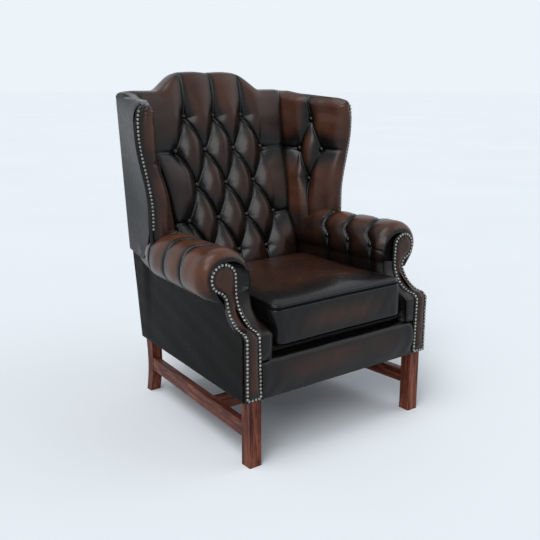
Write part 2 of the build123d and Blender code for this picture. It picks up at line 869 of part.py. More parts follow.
right_upright = back_upright.part
left_upright = mirror(right_upright, about=Plane.YZ)
button_places = [(half_pitch * side, row) for row in (1, 3) for side in (-3, -1, 1, 3)]
button_places += [(back_buttons_x * side, row) for row in (0, 2, 4) for side in (-1, 0, 1)]
button_lean = degrees(atan(inside_slope))
back_button_planes = []
for x, row in button_places:
    origin = (x, button_y(rows[row]) + button_dish, rows[row])
    normal = (0, -cos(radians(button_lean)), sin(radians(button_lean)))
    back_button_planes.append(Plane(origin=origin, x_dir=(1, 0, 0), z_dir=normal))

# A leather button, and the pocket that its stitch pulls into the padding
with BuildPart() as button:
    Cylinder(button_radius, button_height, align=(Align.CENTER, Align.CENTER, Align.MIN))
    fillet(button.edges().group_by(Axis.Z)[-1], button_height * button_round_share)

with BuildPart() as button_pocket:
    Cylinder(button_radius + soft_gap, pocket_length, align=(Align.CENTER, Align.CENTER, Align.MIN))

with BuildPart() as back_pad:
    add(inside_back_pad.part)
    add(right_upright, mode=Mode.SUBTRACT)
    add(left_upright, mode=Mode.SUBTRACT)
    add(crest_rail.part, mode=Mode.SUBTRACT)
    with Locations(*back_button_planes):
        add(button_pocket.part, mode=Mode.SUBTRACT)

with BuildPart() as back_buttons:
    with Locations(*back_button_planes):
        add(button.part)

write(back_pad.part, "inside_back_pad")
write(back_buttons.part, "back_buttons")
write(outside_back_panel.part, "outside_back_panel")
write(crest_rail.part, "crest_rail")
write(lower_back_rail.part, "lower_back_rail")
write(back_webbing.part, "upright_webbing")
write(level_webbing.part, "level_webbing")

# Arm timbers: the arm rail under the roll and the tacking rail at the foot of the inside arm
with BuildPart() as arm_rail:
    with BuildSketch(Plane.XY.offset(arm_rail_top - arm_rail_height)):
        with BuildLine():
            Polyline(*side_strip(-arm_rail_out, arm_rail_in, stump_back, place(frame_depth)), close=True)
        make_face()
    extrude(amount=arm_rail_height)
    add(arm_post.part, mode=Mode.SUBTRACT)
    add(back_upright.part, mode=Mode.SUBTRACT)
    arm_rail_body = arm_rail.solids().sort_by(SortBy.VOLUME)[-1]

with BuildPart() as arm_tacking_rail:
    with BuildSketch(Plane.XY.offset(back_foot + soft_gap)):
        with BuildLine():
            Polyline(*side_strip(tacking_out, tacking_in, post_back, upright_front), close=True)
        make_face()
    extrude(amount=tacking_height)
    add(arm_post.part, mode=Mode.SUBTRACT)
    add(back_upright.part, mode=Mode.SUBTRACT)
    tacking_rail_body = arm_tacking_rail.solids().sort_by(SortBy.VOLUME)[-1]

# Wing timbers. The wing's outer surface runs from its nail line back to the outside back.
wing_front_y = place(wing_front_place)


def wing_outer_x(y, z):
    """Outer surface of a wing at a depth and height."""
    edge_x = wing_nail_x(z) + wing_nail_margin
    share = (y - wing_front_y) / (frame_back_y(z) - wing_front_y)
    return edge_x + (wing_rear_x - edge_x) * share


def wing_strip(z, outer, inner, start, end):
    """Corners, in plan, of a strip under the wing's outer surface."""
    return (
        (wing_outer_x(start, z) - outer, start),
        (wing_outer_x(end, z) - outer, end),
        (wing_outer_x(end, z) - inner, end),
        (wing_outer_x(start, z) - inner, start),
    )


wing_steps = 6
post_heights = [arm_rail_top + (wing_rail_top - arm_rail_top) * i / wing_steps for i in range(wing_steps + 1)]
wing_post_front = wing_front_y + wing_edge_depth
wing_post_back = wing_post_front + wing_post_width
wood_inner = panel_thickness + wing_post_thickness
with BuildPart() as wing_post:
    for height in post_heights:
        with BuildSketch(Plane.XY.offset(height)):
            with BuildLine():
                post_corners = wing_strip(height, panel_thickness, wood_inner, wing_post_front, wing_post_back)
                Polyline(*post_corners, close=True)
            make_face()
    loft(ruled=True)

with BuildPart() as wing_top_rail:
    rail_foot = wing_rail_top - wing_rail_height
    rail_end = frame_back_y(rail_foot)
    with BuildSketch(Plane.XY.offset(rail_foot)):
        with BuildLine():
            rail_corners = wing_strip(rail_foot, panel_thickness, wood_inner, wing_post_back, rail_end)
            Polyline(*rail_corners, close=True)
        make_face()
    extrude(amount=wing_rail_height)
    add(wing_post.part, mode=Mode.SUBTRACT)
    add(back_upright.part, mode=Mode.SUBTRACT)
    add(crest_rail.part, mode=Mode.SUBTRACT)
    wing_rail_body = wing_top_rail.solids().sort_by(SortBy.VOLUME)[-1]

write_pair(arm_rail_body, "arm_rail")
write_pair(tacking_rail_body, "arm_tacking_rail")
write_pair(wing_post.part, "wing_post")
write_pair(wing_rail_body, "wing_top_rail")


# Inside arms: a ruled form through upright sections. The valleys between the buttons slant
# back over the roll, and the roll starts small at the scroll and swells behind it.
# Each row: from the front, slant in degrees, inside face, how full the roll is, valley or not
arm_back_button = arm_first_button + (arm_button_count - 1) * arm_button_pitch
half_arm_pitch = arm_button_pitch / 2
arm_sections = [
    (sweep_centre_place, 0, arm_inside + arm_front_taper, 0, 0),
    (post_back - front_y, 0, arm_inside + arm_front_taper / 4, 0, 0),
    (arm_front_place, 0, arm_inside, 0, 0),
    (arm_front_place + arm_tuft_depth, arm_slant / 4, arm_inside, arm_full_share, 0),
    ((arm_front_place + arm_first_button) / 2, arm_slant / 2, arm_inside, 1, 0),
]
for turn in range(arm_button_count):
    place_now = arm_first_button + turn * arm_button_pitch
    arm_sections.append((place_now, arm_slant, arm_inside, 1, 1))
    arm_sections.append((place_now + half_arm_pitch, arm_slant, arm_inside, 1, 0))
tail_start = arm_back_button + half_arm_pitch
arm_tail = arm_back_place - tail_start
arm_sections += [
    (tail_start + arm_tail / 3, arm_slant / 2, arm_inside, arm_full_share, 0),
    (tail_start + arm_tail * 2 / 3, 0, back_half_foot + soft_gap, 0, 0),
    (arm_back_place, 0, back_half_foot + soft_gap, 0, 0),
]


def arm_section(slant, start, inside, fullness, valley):
    """Corners and arc middles of one section of the inside arm, in its plane's X and Z."""
    lean = cos(radians(slant))
    roll_x = side_x(place(start)) + (scroll_x - frame_half_front)
    tuft = arm_tuft_depth * valley
    out = scroll_radius + (arm_roll_out - scroll_radius) * fullness - tuft
    up = scroll_radius + (arm_roll_top - scroll_z - scroll_radius) * fullness - tuft
    lip = arm_roll_lip * (1 + fullness) / 2
    face = inside + tuft
    reach = roll_x - face

    def at(x, z):
        return ((x - arm_inside) / lean, z)

    web = at(side_x(place(start)) - arm_web_in, back_foot)
    return {
        "foot": at(face, back_foot),
        "swell": at(face - arm_swell * (2 - valley) / 2, (back_foot + arm_roll_turn) / 2),
        "turn": at(face, arm_roll_turn),
        "rise": at(roll_x - reach * arm_rise_share, scroll_z + up * arm_lift_share),
        "top": at(roll_x, scroll_z + up),
        "fall": at(roll_x + out * arm_rise_share, scroll_z + up * arm_rise_share),
        "outer": at(roll_x + out, scroll_z),
        "under": at(roll_x + out * arm_under_share, scroll_z - out * arm_drop_share),
        "lip": at(roll_x + lip, arm_roll_under),
        "web_top": (web[0], arm_roll_under),
        "web_foot": web,
    }


right_post = arm_post.part
with BuildPart() as inside_arm_pad:
    for start, slant, inside, fullness, valley in arm_sections:
        p = arm_section(slant, start, inside, fullness, valley)
        turn = radians(slant)
        section_plane = Plane(
            origin=(arm_inside, place(start), 0),
            x_dir=(cos(turn), sin(turn), 0),
            z_dir=(sin(turn), -cos(turn), 0),
        )
        with BuildSketch(section_plane):
            with BuildLine():
                ThreePointArc(p["foot"], p["swell"], p["turn"])
                ThreePointArc(p["turn"], p["rise"], p["top"])
                ThreePointArc(p["top"], p["fall"], p["outer"])
                ThreePointArc(p["outer"], p["under"], p["lip"])
                Polyline(p["lip"], p["web_top"], p["web_foot"], p["foot"])
            make_face()
    loft(ruled=True)
    extrude(front_band(facing_thickness, place(frame_depth)), amount=2 * cut_over, mode=Mode.INTERSECT)
    add(arm_facing.part, mode=Mode.SUBTRACT)
    add(right_post, mode=Mode.SUBTRACT)
    add(arm_rail_body, mode=Mode.SUBTRACT)
    add(tacking_rail_body, mode=Mode.SUBTRACT)
    add(wing_post.part, mode=Mode.SUBTRACT)
    arm_pad_body = inside_arm_pad.solids().sort_by(SortBy.VOLUME)[-1]

arm_button_planes = []
for turn in range(3):
    start = arm_first_button + turn * arm_button_pitch
    p = arm_section(0, start, arm_inside, 1, 1)
    curve = Edge.make_three_point_arc(
        Vector(p["turn"][0], 0, p["turn"][1]),
        Vector(p["rise"][0], 0, p["rise"][1]),
        Vector(p["top"][0], 0, p["top"][1]),
    )
    spot = curve.position_at(arm_button_share)
    along = curve.tangent_at(arm_button_share)
    arm_button_planes.append(Plane(
        origin=(arm_inside + spot.X + button_dish, place(start), spot.Z),
        x_dir=(0, 1, 0),
        z_dir=(-along.Z, 0, along.X),
    ))
with BuildPart() as arm_buttons:
    with Locations(*arm_button_planes):
        add(button.part)

# Outside panels of the arms
with BuildPart() as outside_arm_panel:
    with BuildSketch(Plane.XY.offset(seat_clearance)):
        with BuildLine():
            Polyline(*side_strip(-panel_thickness, 0, place(-facing_stand), place(frame_depth)), close=True)
        make_face()
    extrude(amount=wing_panel_foot - seat_clearance)
    panel_front = facing_thickness + soft_gap
    extrude(front_band(panel_front, place(frame_depth)), amount=2 * cut_over, mode=Mode.INTERSECT)
    add(arm_facing.part, mode=Mode.SUBTRACT)
    with BuildSketch(across(0)):
        with BuildLine():
            Polyline(
                (front_y - cut_over, seat_clearance),
                (frame_back_y(seat_clearance), seat_clearance),
                (frame_back_y(wing_panel_foot), wing_panel_foot),
                (place(wing_sweep_place), wing_panel_foot),
                (place(wing_sweep_place), arm_panel_top),
                (front_y - cut_over, arm_panel_top),
                close=True,
            )
        make_face()
    extrude(amount=2 * cut_over, mode=Mode.INTERSECT)
    add(right_upright, mode=Mode.SUBTRACT)
    add(arm_rail_body, mode=Mode.SUBTRACT)


# Outside panels of the wings, ruled between the flared front edge and the straight rear corner
def wing_top_z(y):
    """Top line of a wing, falling from the crest to the front."""
    rear = place(frame_depth)
    share = (y - wing_front_y) / (rear - wing_front_y)
    return wing_top_front + (wing_top_rear - wing_top_front) * share


panel_heights = [wing_panel_foot, wing_foot, wing_flare_start]
flare_step = wing_flare_height / wing_steps
panel_heights += [wing_flare_start + flare_step * (i + 1) for i in range(wing_steps)] + [overall_height]
panel_start = wing_front_y + wing_panel_gap
with BuildPart() as outside_wing_panel:
    for height in panel_heights:
        with BuildSketch(Plane.XY.offset(height)):
            with BuildLine():
                Polyline(
                    *wing_strip(height, 0, panel_thickness, panel_start, frame_back_y(height)), close=True
                )
            make_face()
    loft(ruled=True)
    with BuildSketch(across(0)):
        with BuildLine():
            rear_line = frame_back_y(overall_height) + cut_over
            low_corner = (place(wing_sweep_place), wing_panel_foot)
            high_corner = (panel_start - soft_gap, wing_foot)
            sweep_middle = (
                panel_start + (low_corner[0] - panel_start) * wing_sweep_share,
                wing_foot - (wing_foot - wing_panel_foot) * wing_drop_share,
            )
            top_front = wing_top_z(panel_start) - wing_top_drop
            ThreePointArc(low_corner, sweep_middle, high_corner)
            Polyline(
                high_corner,
                (panel_start - soft_gap, top_front - wing_corner_round / 2),
                (panel_start + wing_corner_round / 2, top_front),
                (rear_line, wing_top_z(rear_line) - wing_top_drop),
                (rear_line, wing_panel_foot),
                low_corner,
            )
        make_face()
    extrude(amount=2 * cut_over, mode=Mode.INTERSECT)
    add(wing_post.part, mode=Mode.SUBTRACT)
    add(wing_rail_body, mode=Mode.SUBTRACT)


with BuildPart() as arm_pad:
    add(arm_pad_body)
    for solid in (back_pad.part, outside_wing_panel.part, outside_arm_panel.part, right_upright):
        add(solid, mode=Mode.SUBTRACT)
    with Locations(*arm_button_planes):
        add(button_pocket.part, mode=Mode.SUBTRACT)
    arm_pad_solid = arm_pad.solids().sort_by(SortBy.VOLUME)[-1]


def crease_y(z):
    """Where the inside back meets the wing."""
    return button_y(z) + crease_set_back


# Inside wings: a ruled form through level sections that tilt with the top line. Knots along
# each section are where a button or its crease pulls the surface in.
one_button_shares = (0.49, 0.52, 0.58, 0.61)
two_button_shares = (0.33, 0.39, 0.71, 0.77)
mean_shares = [(a + b) / 2 for a, b in zip(one_button_shares, two_button_shares)]
button_row = (one_button_shares, (0, 1, 1, 0), (1, 0, 0, 0, 1))
double_row = (two_button_shares, (1, 0, 0, 1), (0, 0, 1, 0, 0))
between_rows = (mean_shares, (1, 1, 1, 1), (1, 0, 1, 0, 1))
wing_low = wing_button_low
wing_step = wing_button_pitch
top_step = (wing_top_rear - wing_low - 2 * wing_step) / 4
wing_rows = [
    (arm_roll_turn + arm_rail_height, 0, between_rows, 0),
    (wing_foot, 0, between_rows, 0),
    (wing_low, 0, button_row, 0),
    (wing_low + wing_step / 2, 0, between_rows, 0),
    (wing_low + wing_step, 0, double_row, 0),
    (wing_low + wing_step * 3 / 2, 0, between_rows, 0),
    (wing_low + wing_step * 2, 0, button_row, 0),
]
for turn, draw_in in enumerate(wing_draw_shares):
    wing_rows.append((wing_low + wing_step * 2 + top_step * (turn + 1), turn + 1, between_rows, draw_in))


def wing_section(height, tilt, kind, draw_in):
    """One section of the inside wing in plan, as lists of points for its edges."""
    shares, lifts, swells = kind
    slope = (wing_top_rear - wing_top_front) / (frame_depth - wing_front_place) * tilt / 4

    def level(y):
        return height - slope * (place(frame_depth) - y)

    front_z = level(wing_front_y)
    rear = frame_back_y(height) - back_timber
    inner = back_half(height) + soft_gap
    edge = wing_nail_x(front_z) + wing_nail_margin
    outer = wing_outer_x(panel_start, front_z) - panel_thickness - soft_gap
    roll_back = wing_nail_x(front_z) - wing_roll_width
    crease = (inner, crease_y(height))
    roll_end = (roll_back, wing_front_y + wing_margin_step)
    span = (roll_end[0] - crease[0], roll_end[1] - crease[1])
    length = hypot(*span)
    normal = (-abs(span[1]) / length, -abs(span[0]) / length)

    def on(share, lift):
        return (
            crease[0] + span[0] * share + normal[0] * lift,
            crease[1] + span[1] * share + normal[1] * lift,
        )

    knots = [on(share, lift * wing_crease_lift) for share, lift in zip(shares, lifts)]
    knots = [crease] + knots + [roll_end]
    middles = []
    for low, high, swell in zip(knots, knots[1:], swells):
        amount = wing_least_swell + swell * wing_puff / 2
        middles.append((
            (low[0] + high[0]) / 2 + normal[0] * amount,
            (low[1] + high[1]) / 2 + normal[1] * amount,
        ))
    roll_front = (edge - wing_nail_margin - wing_roll_width / 2, wing_front_y - wing_roll_front)
    strip = (edge - wing_nail_margin - wing_lip, wing_front_y)
    seat = edge - wing_nail_margin + wing_nail_seat
    tail = [
        strip,
        (seat, wing_front_y),
        (seat + (edge - seat) * wing_slope_share, wing_front_y + wing_edge_depth * (1 - wing_slope_share)),
        (edge, wing_front_y + wing_edge_depth),
        (edge, panel_start - soft_gap),
        (outer, panel_start - soft_gap),
        (wing_outer_x(rear, height) - panel_thickness - soft_gap, rear),
        (inner, rear),
        crease,
    ]

    def drawn(point):
        middle = (inner + edge) / 2
        return (point[0] + (middle - point[0]) * draw_in, point[1])

    lines = [[drawn(point) for point in line] for line in (knots, middles, tail)]
    return (lines[0], lines[1], drawn(roll_front), lines[2]), slope


with BuildPart() as inside_wing_pad:
    for height, tilt, kind, draw_in in wing_rows:
        (knots, middles, roll_front, tail), slope = wing_section(height, tilt, kind, draw_in)
        lean = atan(slope)
        hinge_y = place(frame_depth)
        section_plane = Plane(
            origin=(0, hinge_y, height), x_dir=(1, 0, 0), z_dir=(0, -sin(lean), cos(lean))
        )

        def local(point):
            return (point[0], (point[1] - hinge_y) / cos(lean))

        with BuildSketch(section_plane):
            with BuildLine():
                for low, middle, high in zip(knots, middles, knots[1:]):
                    ThreePointArc(local(low), local(middle), local(high))
                ThreePointArc(local(knots[-1]), local(roll_front), local(tail[0]))
                Polyline(*[local(point) for point in tail])
            make_face()
    loft(ruled=True)
    with BuildSketch(across(0)):
        with BuildLine():
            front_line_y = wing_front_y - wing_roll_front - wing_margin_step
            round_centre = (front_line_y + wing_corner_round, wing_top_front - wing_corner_round)
            Line((front_line_y, arm_roll_turn), (front_line_y, round_centre[1]))
            RadiusArc(
                (front_line_y, round_centre[1]), (round_centre[0], wing_top_front), wing_corner_round
            )
            Polyline(
                (round_centre[0], wing_top_front),
                (wing_front_y + wing_post_width, overall_height),
                (place(frame_depth + cut_over), overall_height),
                (place(frame_depth + cut_over), arm_roll_turn),
                (front_line_y, arm_roll_turn),
            )
        make_face()
    extrude(amount=2 * cut_over, mode=Mode.INTERSECT)
    for solid in (
        wing_post.part, wing_rail_body, right_upright, crest_rail.part,
        outside_wing_panel.part, arm_rail_body, arm_pad_solid, back_pad.part, level_webbing.part,
        outside_arm_panel.part,
    ):
        add(solid, mode=Mode.SUBTRACT)
    wing_pad_body = inside_wing_pad.solids().sort_by(SortBy.VOLUME)[-1]
write_pair(arm_pad_solid, "inside_arm_pad")
write_pair(arm_buttons.part, "arm_buttons")
write_pair(outside_arm_panel.part, "outside_arm_panel")
write_pair(outside_wing_panel.part, "outside_wing_panel")


# Corner blocks: triangles glued and screwed into the corners of the seat frame
block_base = rail_top - block_drop - block_height


def block_triangle(rail_face, toward_front):
    """Corners of a block in plan, from the face of the rail that it lies against."""
    far = rail_face + block_leg * toward_front
    start_x = side_x(rail_face) - rail_thickness
    return (
        (start_x - block_leg, rail_face),
        (start_x, rail_face),
        (side_x(far) - rail_thickness, far),
    )


block_corners = (block_triangle(front_rail_back, 1), block_triangle(back_rail_front, -1))
screw_planes = []
for corners in block_corners:
    (x_a, y_a), _, (x_b, y_b) = corners
    inward = -1 if corners is block_corners[0] else 1
    length = hypot(x_b - x_a, y_b - y_a)
    normal = (inward * (y_b - y_a) / length, -inward * (x_b - x_a) / length, 0)
    for height in (block_base + block_height / 4, block_base + block_height * 3 / 4):
        screw_planes.append(Plane(
            origin=((x_a + x_b) / 2, (y_a + y_b) / 2, height), x_dir=(0, 0, 1), z_dir=normal
        ))

with BuildPart() as corner_screws:
    with Locations(*screw_planes):
        Cylinder(screw_head_radius, screw_head_height, align=(Align.CENTER, Align.CENTER, Align.MIN))
        Cylinder(screw_radius, screw_length, align=(Align.CENTER, Align.CENTER, Align.MAX))
    mirror(about=Plane.YZ)

with BuildPart() as corner_blocks:
    with BuildSketch(Plane.XY.offset(block_base)):
        for corners in block_corners:
            with BuildLine():
                Polyline(*corners, close=True)
            make_face()
    extrude(amount=block_height)
    for solid in (right_post, right_upright, side_seat_rail.part):
        add(solid, mode=Mode.SUBTRACT)
    right_blocks = corner_blocks.solids().sort_by(SortBy.VOLUME)[-len(block_corners):]

with BuildPart() as all_blocks:
    add(right_blocks)
    mirror(about=Plane.YZ)

# Sinuous springs in clips on the front and back rails
bar_pitch = 2 * spring_turn
clip_front = front_rail_front + rail_thickness - clip_depth
clip_rear = back_rail_front
spring_z = rail_top + clip_floor + spring_wire
spring_end = clip_width / 2 + spring_over
bar_first = clip_front + clip_depth / 2
spring_span = clip_rear + clip_depth / 2 - bar_first
bar_count = int(spring_span / bar_pitch / 2) * 2 + 1
spring_radius = spring_span / (bar_count - 1) / 2
spring_x = [deck_half * 2 / (spring_count + 1) * (i - (spring_count - 1) / 2) for i in range(spring_count)]

with BuildPart() as one_spring:
    with BuildLine() as spring_path:
        side = -1
        bar_y = bar_first
        Line((-side * spring_end, bar_y, spring_z), (side * spring_half_width, bar_y, spring_z))
        for bar in range(1, bar_count):
            low = (side * spring_half_width, bar_y, spring_z)
            out = (side * (spring_half_width + spring_radius), bar_y + spring_radius, spring_z)
            bar_y += 2 * spring_radius
            high = (side * spring_half_width, bar_y, spring_z)
            ThreePointArc(low, out, high)
            last = bar == bar_count - 1
            reach = spring_end if last else spring_half_width
            Line(high, (-side * reach, bar_y, spring_z))
            side = -side
    path_start = spring_path.wires()[0].position_at(0)
    path_tangent = spring_path.wires()[0].tangent_at(0)
    with BuildSketch(Plane(origin=path_start, z_dir=path_tangent)):
        Circle(spring_wire)
    sweep(path=spring_path.wires()[0])

with BuildPart() as seat_springs:
    with Locations(*[(x, 0, 0) for x in spring_x]):
        add(one_spring.part)

with BuildPart() as spring_clips:
    with BuildSketch(Plane.XY.offset(rail_top)):
        with Locations(*[(x, y) for x in spring_x for y in (bar_first, bar_y)]):
            Rectangle(clip_width, clip_depth)
    extrude(amount=clip_height)
    with Locations(*[(x, y, spring_z) for x in spring_x for y in (bar_first, bar_y)]):
        Cylinder(spring_wire + soft_gap / 3, 2 * clip_width, rotation=(0, 90, 0), mode=Mode.SUBTRACT)

# Stuffed deck over the springs, and the cover under the frame
deck_bottom = rail_top + clip_height + soft_gap
deck_front = post_back + soft_gap
deck_rear = frame_back_y(deck_top) - back_timber - soft_gap
with BuildPart() as seat_deck:
    with BuildSketch(Plane.XY.offset(deck_bottom)):
        with BuildLine():
            strip = side_strip(arm_web_in + panel_thickness, frame_half_front, deck_front, deck_rear)
            (x_a, y_a), (x_b, y_b) = strip[:2]
            Polyline((x_a, y_a), (x_b, y_b), (-x_b, y_b), (-x_a, y_a), close=True)
        make_face()
    extrude(amount=deck_top - deck_bottom)

with BuildPart() as dust_cover:
    with BuildSketch(Plane.XY.offset(seat_clearance - dust_cover_thickness)):
        with BuildLine():
            strip = side_strip(dust_cover_margin, frame_half_front, place(0), place(frame_depth))
            (x_a, y_a), (x_b, y_b) = strip[:2]
            Polyline((x_a, y_a), (x_b, y_b), (-x_b, y_b), (-x_a, y_a), close=True)
        make_face()
        with Locations(*[(front_leg_x * side, front_leg_y) for side in (-1, 1)]):
            Rectangle(leg_square + dust_cover_margin, leg_square + dust_cover_margin, mode=Mode.SUBTRACT)
        rear_leg_y = rear_top_back - rear_leg_width / 2
        with Locations(*[(rear_leg_x * side, rear_leg_y) for side in (-1, 1)]):
            notch = (rear_leg_width + dust_cover_margin, rear_leg_width + 2 * dust_cover_margin)
            Rectangle(*notch, mode=Mode.SUBTRACT)
    extrude(amount=dust_cover_thickness)

# Padded front border, rolled over the front rail up to the deck
border_half = column_inner - soft_gap
with BuildPart() as front_border:
    with BuildSketch(across(-border_half)):
        with BuildLine():
            face_y = place(-border_face)
            back_y = place(border_over)
            round_start = (face_y, border_top - border_round)
            round_end = (face_y + border_round, border_top)
            Line((face_y, seat_clearance), round_start)
            RadiusArc(round_start, round_end, border_round)
            Polyline(
                round_end,
                (back_y, border_top),
                (back_y, deck_bottom),
                (front_rail_back - clip_depth - soft_gap, deck_bottom),
                (front_rail_back - clip_depth - soft_gap, rail_top),
                (front_rail_front, rail_top),
                (front_rail_front, seat_clearance),
                (face_y, seat_clearance),
            )
        make_face()
    extrude(amount=2 * border_half)
    add(right_post, mode=Mode.SUBTRACT)
    add(mirror(right_post, about=Plane.YZ, mode=Mode.PRIVATE), mode=Mode.SUBTRACT)

write(all_blocks.part, "corner_blocks")
write(corner_screws.part, "corner_screws")
write(seat_springs.part, "seat_springs")
write(spring_clips.part, "spring_clips")
write(seat_deck.part, "seat_deck")
write(dust_cover.part, "dust_cover")
write(front_border.part, "front_border")

# Loose seat cushion: crowned top, boxed sides that swell, edges drawn in between the corners
cushion_top = back_foot + cushion_height
cushion_length = cushion_rear - cushion_front
crown_shares = (0.12, 0.2, 0.34, 0.68, 0.94, 1.0, 0.8, 0.46, 0.2, 0.12)
length_shares = (0.2, 0.38, 0.55, 0.75, 0.9)
least_share = 0.1
plan_round = cushion_corner * cushion_corner_share
section_places = [0, plan_round, cushion_corner]
section_places += [cushion_length * share for share in length_shares]
section_places += [cushion_length - plan_round, cushion_length]


def cushion_edge(distance):
    """Half width of the cushion's seams at a distance from its front."""
    share = distance / cushion_length
    corner = max(cushion_corner - min(distance, cushion_length - distance), 0)
    rounding = cushion_corner - (cushion_corner**2 - corner**2) ** 0.5
    return cushion_half - cushion_pull * (1 - abs(2 * share - 1)) - rounding


def cushion_section(distance, inset, crown):
    """Outline of the cushion across its width."""
    half = cushion_edge(min(max(distance, 0), cushion_length)) - inset
    low = back_foot + inset
    high = cushion_top - inset
    belly = cushion_belly * (least_share if inset else 1)
    middle = (low + high) / 2
    with BuildLine() as outline:
        Line((-half, low), (half, low))
        ThreePointArc((half, low), (half + belly, middle), (half, high))
        ThreePointArc((half, high), (0, high + crown * cushion_crown), (-half, high))
        ThreePointArc((-half, high), (-half - belly, middle), (-half, low))
    return outline.wires()[0]


near, far = place(cushion_front), place(cushion_rear)
middle_y = (near + far) / 2
drawn_half = cushion_half - cushion_pull
with BuildPart() as welts:
    for height in (back_foot + welt_radius, cushion_top - welt_radius):
        with BuildLine() as welt_path:
            FilletPolyline(
                (0, near, height),
                (cushion_half, near, height),
                (drawn_half, middle_y, height),
                (cushion_half, far, height),
                (0, far, height),
                radius=[cushion_corner, welt_sweep, cushion_corner],
            )
        with BuildSketch(Plane(origin=(0, near, height), z_dir=(1, 0, 0))):
            Circle(welt_radius)
        sweep(path=welt_path.wires()[0])
    mirror(about=Plane.YZ)

with BuildPart() as seat_cushion:
    with BuildSketch(upright_plane(place(cushion_front - cushion_belly))):
        add(cushion_section(-cushion_belly, cushion_corner, least_share))
        make_face()
    for distance, crown in zip(section_places, crown_shares):
        with BuildSketch(upright_plane(place(cushion_front + distance))):
            add(cushion_section(distance, 0, crown))
            make_face()
    with BuildSketch(upright_plane(place(cushion_rear + cushion_belly))):
        add(cushion_section(cushion_length + cushion_belly, cushion_corner, least_share))
        make_face()
    loft(ruled=True)

write(seat_cushion.part, "seat_cushion")
write(welts.part, "cushion_welts")


# Domed nails. Those of a facing follow its outline, a little way in from the edge.
def facing_spot(z):
    """Depth of the facing's leather at a height, and the slope of its surface there."""
    p = front_line_points(0)
    if z <= p["nose"][1]:
        return p["nose"][0], (-1, 0)
    if z < ledge_height:
        rise = (p["ledge"][0] - p["nose"][0], p["ledge"][1] - p["nose"][1])
        share = min((z - p["nose"][1]) / rise[1], 1)
        length = hypot(*rise)
        return p["nose"][0] + rise[0] * share, (-rise[1] / length, rise[0] / length)
    if z < sweep_centre[1]:
        drop = sweep_centre[1] - z
        reach = (sweep_radius**2 - drop**2) ** 0.5
        return sweep_centre[0] + reach, (-reach / sweep_radius, drop / sweep_radius)
    return sweep_centre[0] + sweep_radius, (-1, 0)


fine_steps = 24000
nail_outline = scroll_outline(nail_inset, seat_clearance + nail_inset)
trail = []
for step in range(fine_steps + 1):
    spot = nail_outline.position_at(step / fine_steps)
    trail.append((spot.X, facing_spot(spot.Y)[0], spot.Y))
if trail[1][2] < trail[0][2] or abs(trail[1][0] - trail[0][0]) > abs(trail[1][2] - trail[0][2]):
    trail.reverse()
steps = [hypot(b[0] - a[0], b[1] - a[1], b[2] - a[2]) for a, b in zip(trail, trail[1:])]
even_pitch = sum(steps) / round(sum(steps) / nail_pitch)
facing_nail_planes = []
walked = even_pitch / 2
for after, stride in zip(trail[1:], steps):
    walked += stride
    if walked >= even_pitch:
        walked -= even_pitch
        depth, (lean_y, lean_z) = facing_spot(after[2])
        facing_nail_planes.append(Plane(origin=after, x_dir=(1, 0, 0), z_dir=(0, lean_y, lean_z)))

wing_nail_count = int((wing_top_front - wing_corner_round / 2 - wing_foot) / nail_pitch)
wing_nail_planes = []
for turn in range(wing_nail_count):
    z = wing_foot + nail_pitch * (turn + 1 / 2)
    wing_nail_planes.append(
        Plane(origin=(wing_nail_x(z), wing_front_y, z), x_dir=(1, 0, 0), z_dir=(0, -1, 0))
    )

with BuildPart() as nail:
    Cylinder(nail_head_radius, nail_head_height, align=(Align.CENTER, Align.CENTER, Align.MIN))
    fillet(nail.edges().group_by(Axis.Z)[-1], nail_head_height * button_round_share)
    Cylinder(nail_shank_radius, nail_shank, align=(Align.CENTER, Align.CENTER, Align.MAX))

with BuildPart() as facing_nails:
    with Locations(*facing_nail_planes):
        add(nail.part)
with BuildPart() as wing_nails:
    with Locations(*wing_nail_planes):
        add(nail.part)

# Buttons of a wing, at the knots of its sections
wing_button_planes = []
wing_buttons_at = (
    (0, one_button_shares, (1, 2)), (1, two_button_shares, (0, 1)),
    (1, two_button_shares, (2, 3)), (2, one_button_shares, (1, 2)),
)
for level_row, shares, pair in wing_buttons_at:
    z = wing_low + wing_step * level_row
    (knots, _, _, _), _ = wing_section(z, 0, (shares, (0, 0, 0, 0), (0, 0, 0, 0, 0)), 0)
    start, end = knots[0], knots[-1]
    share = (shares[pair[0]] + shares[pair[1]]) / 2
    run = (end[0] - start[0], end[1] - start[1])
    length = hypot(*run)
    normal = (-abs(run[1]) / length, -abs(run[0]) / length, 0)
    wing_button_planes.append(Plane(
        origin=(start[0] + run[0] * share, start[1] + run[1] * share, z), x_dir=(0, 0, 1), z_dir=normal
    ))
with BuildPart() as wing_pad:
    add(wing_pad_body)
    with Locations(*wing_button_planes):
        add(button_pocket.part, mode=Mode.SUBTRACT)
    wing_pad_solid = wing_pad.solids().sort_by(SortBy.VOLUME)[-1]
with BuildPart() as wing_buttons:
    with Locations(*wing_button_planes):
        add(button.part)

write_pair(wing_pad_solid, "inside_wing_pad")
write_pair(wing_buttons.part, "wing_buttons")
write_pair(facing_nails.part, "facing_nails")
write_pair(wing_nails.part, "wing_nails")
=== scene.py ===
# %% [markdown]
# # A buttoned leather wing chair
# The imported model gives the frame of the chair: timber, panels, nails, and plain solids for the
# stuffing. This lesson dresses it. Each soft piece is modelled again as leather that is pulled
# in by buttons and folds, and each surface gets a finish worked out from nodes.

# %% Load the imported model
from math import atan, cos, pi, radians, sin

import bpy
import numpy as np
from mathutils import Matrix, Vector


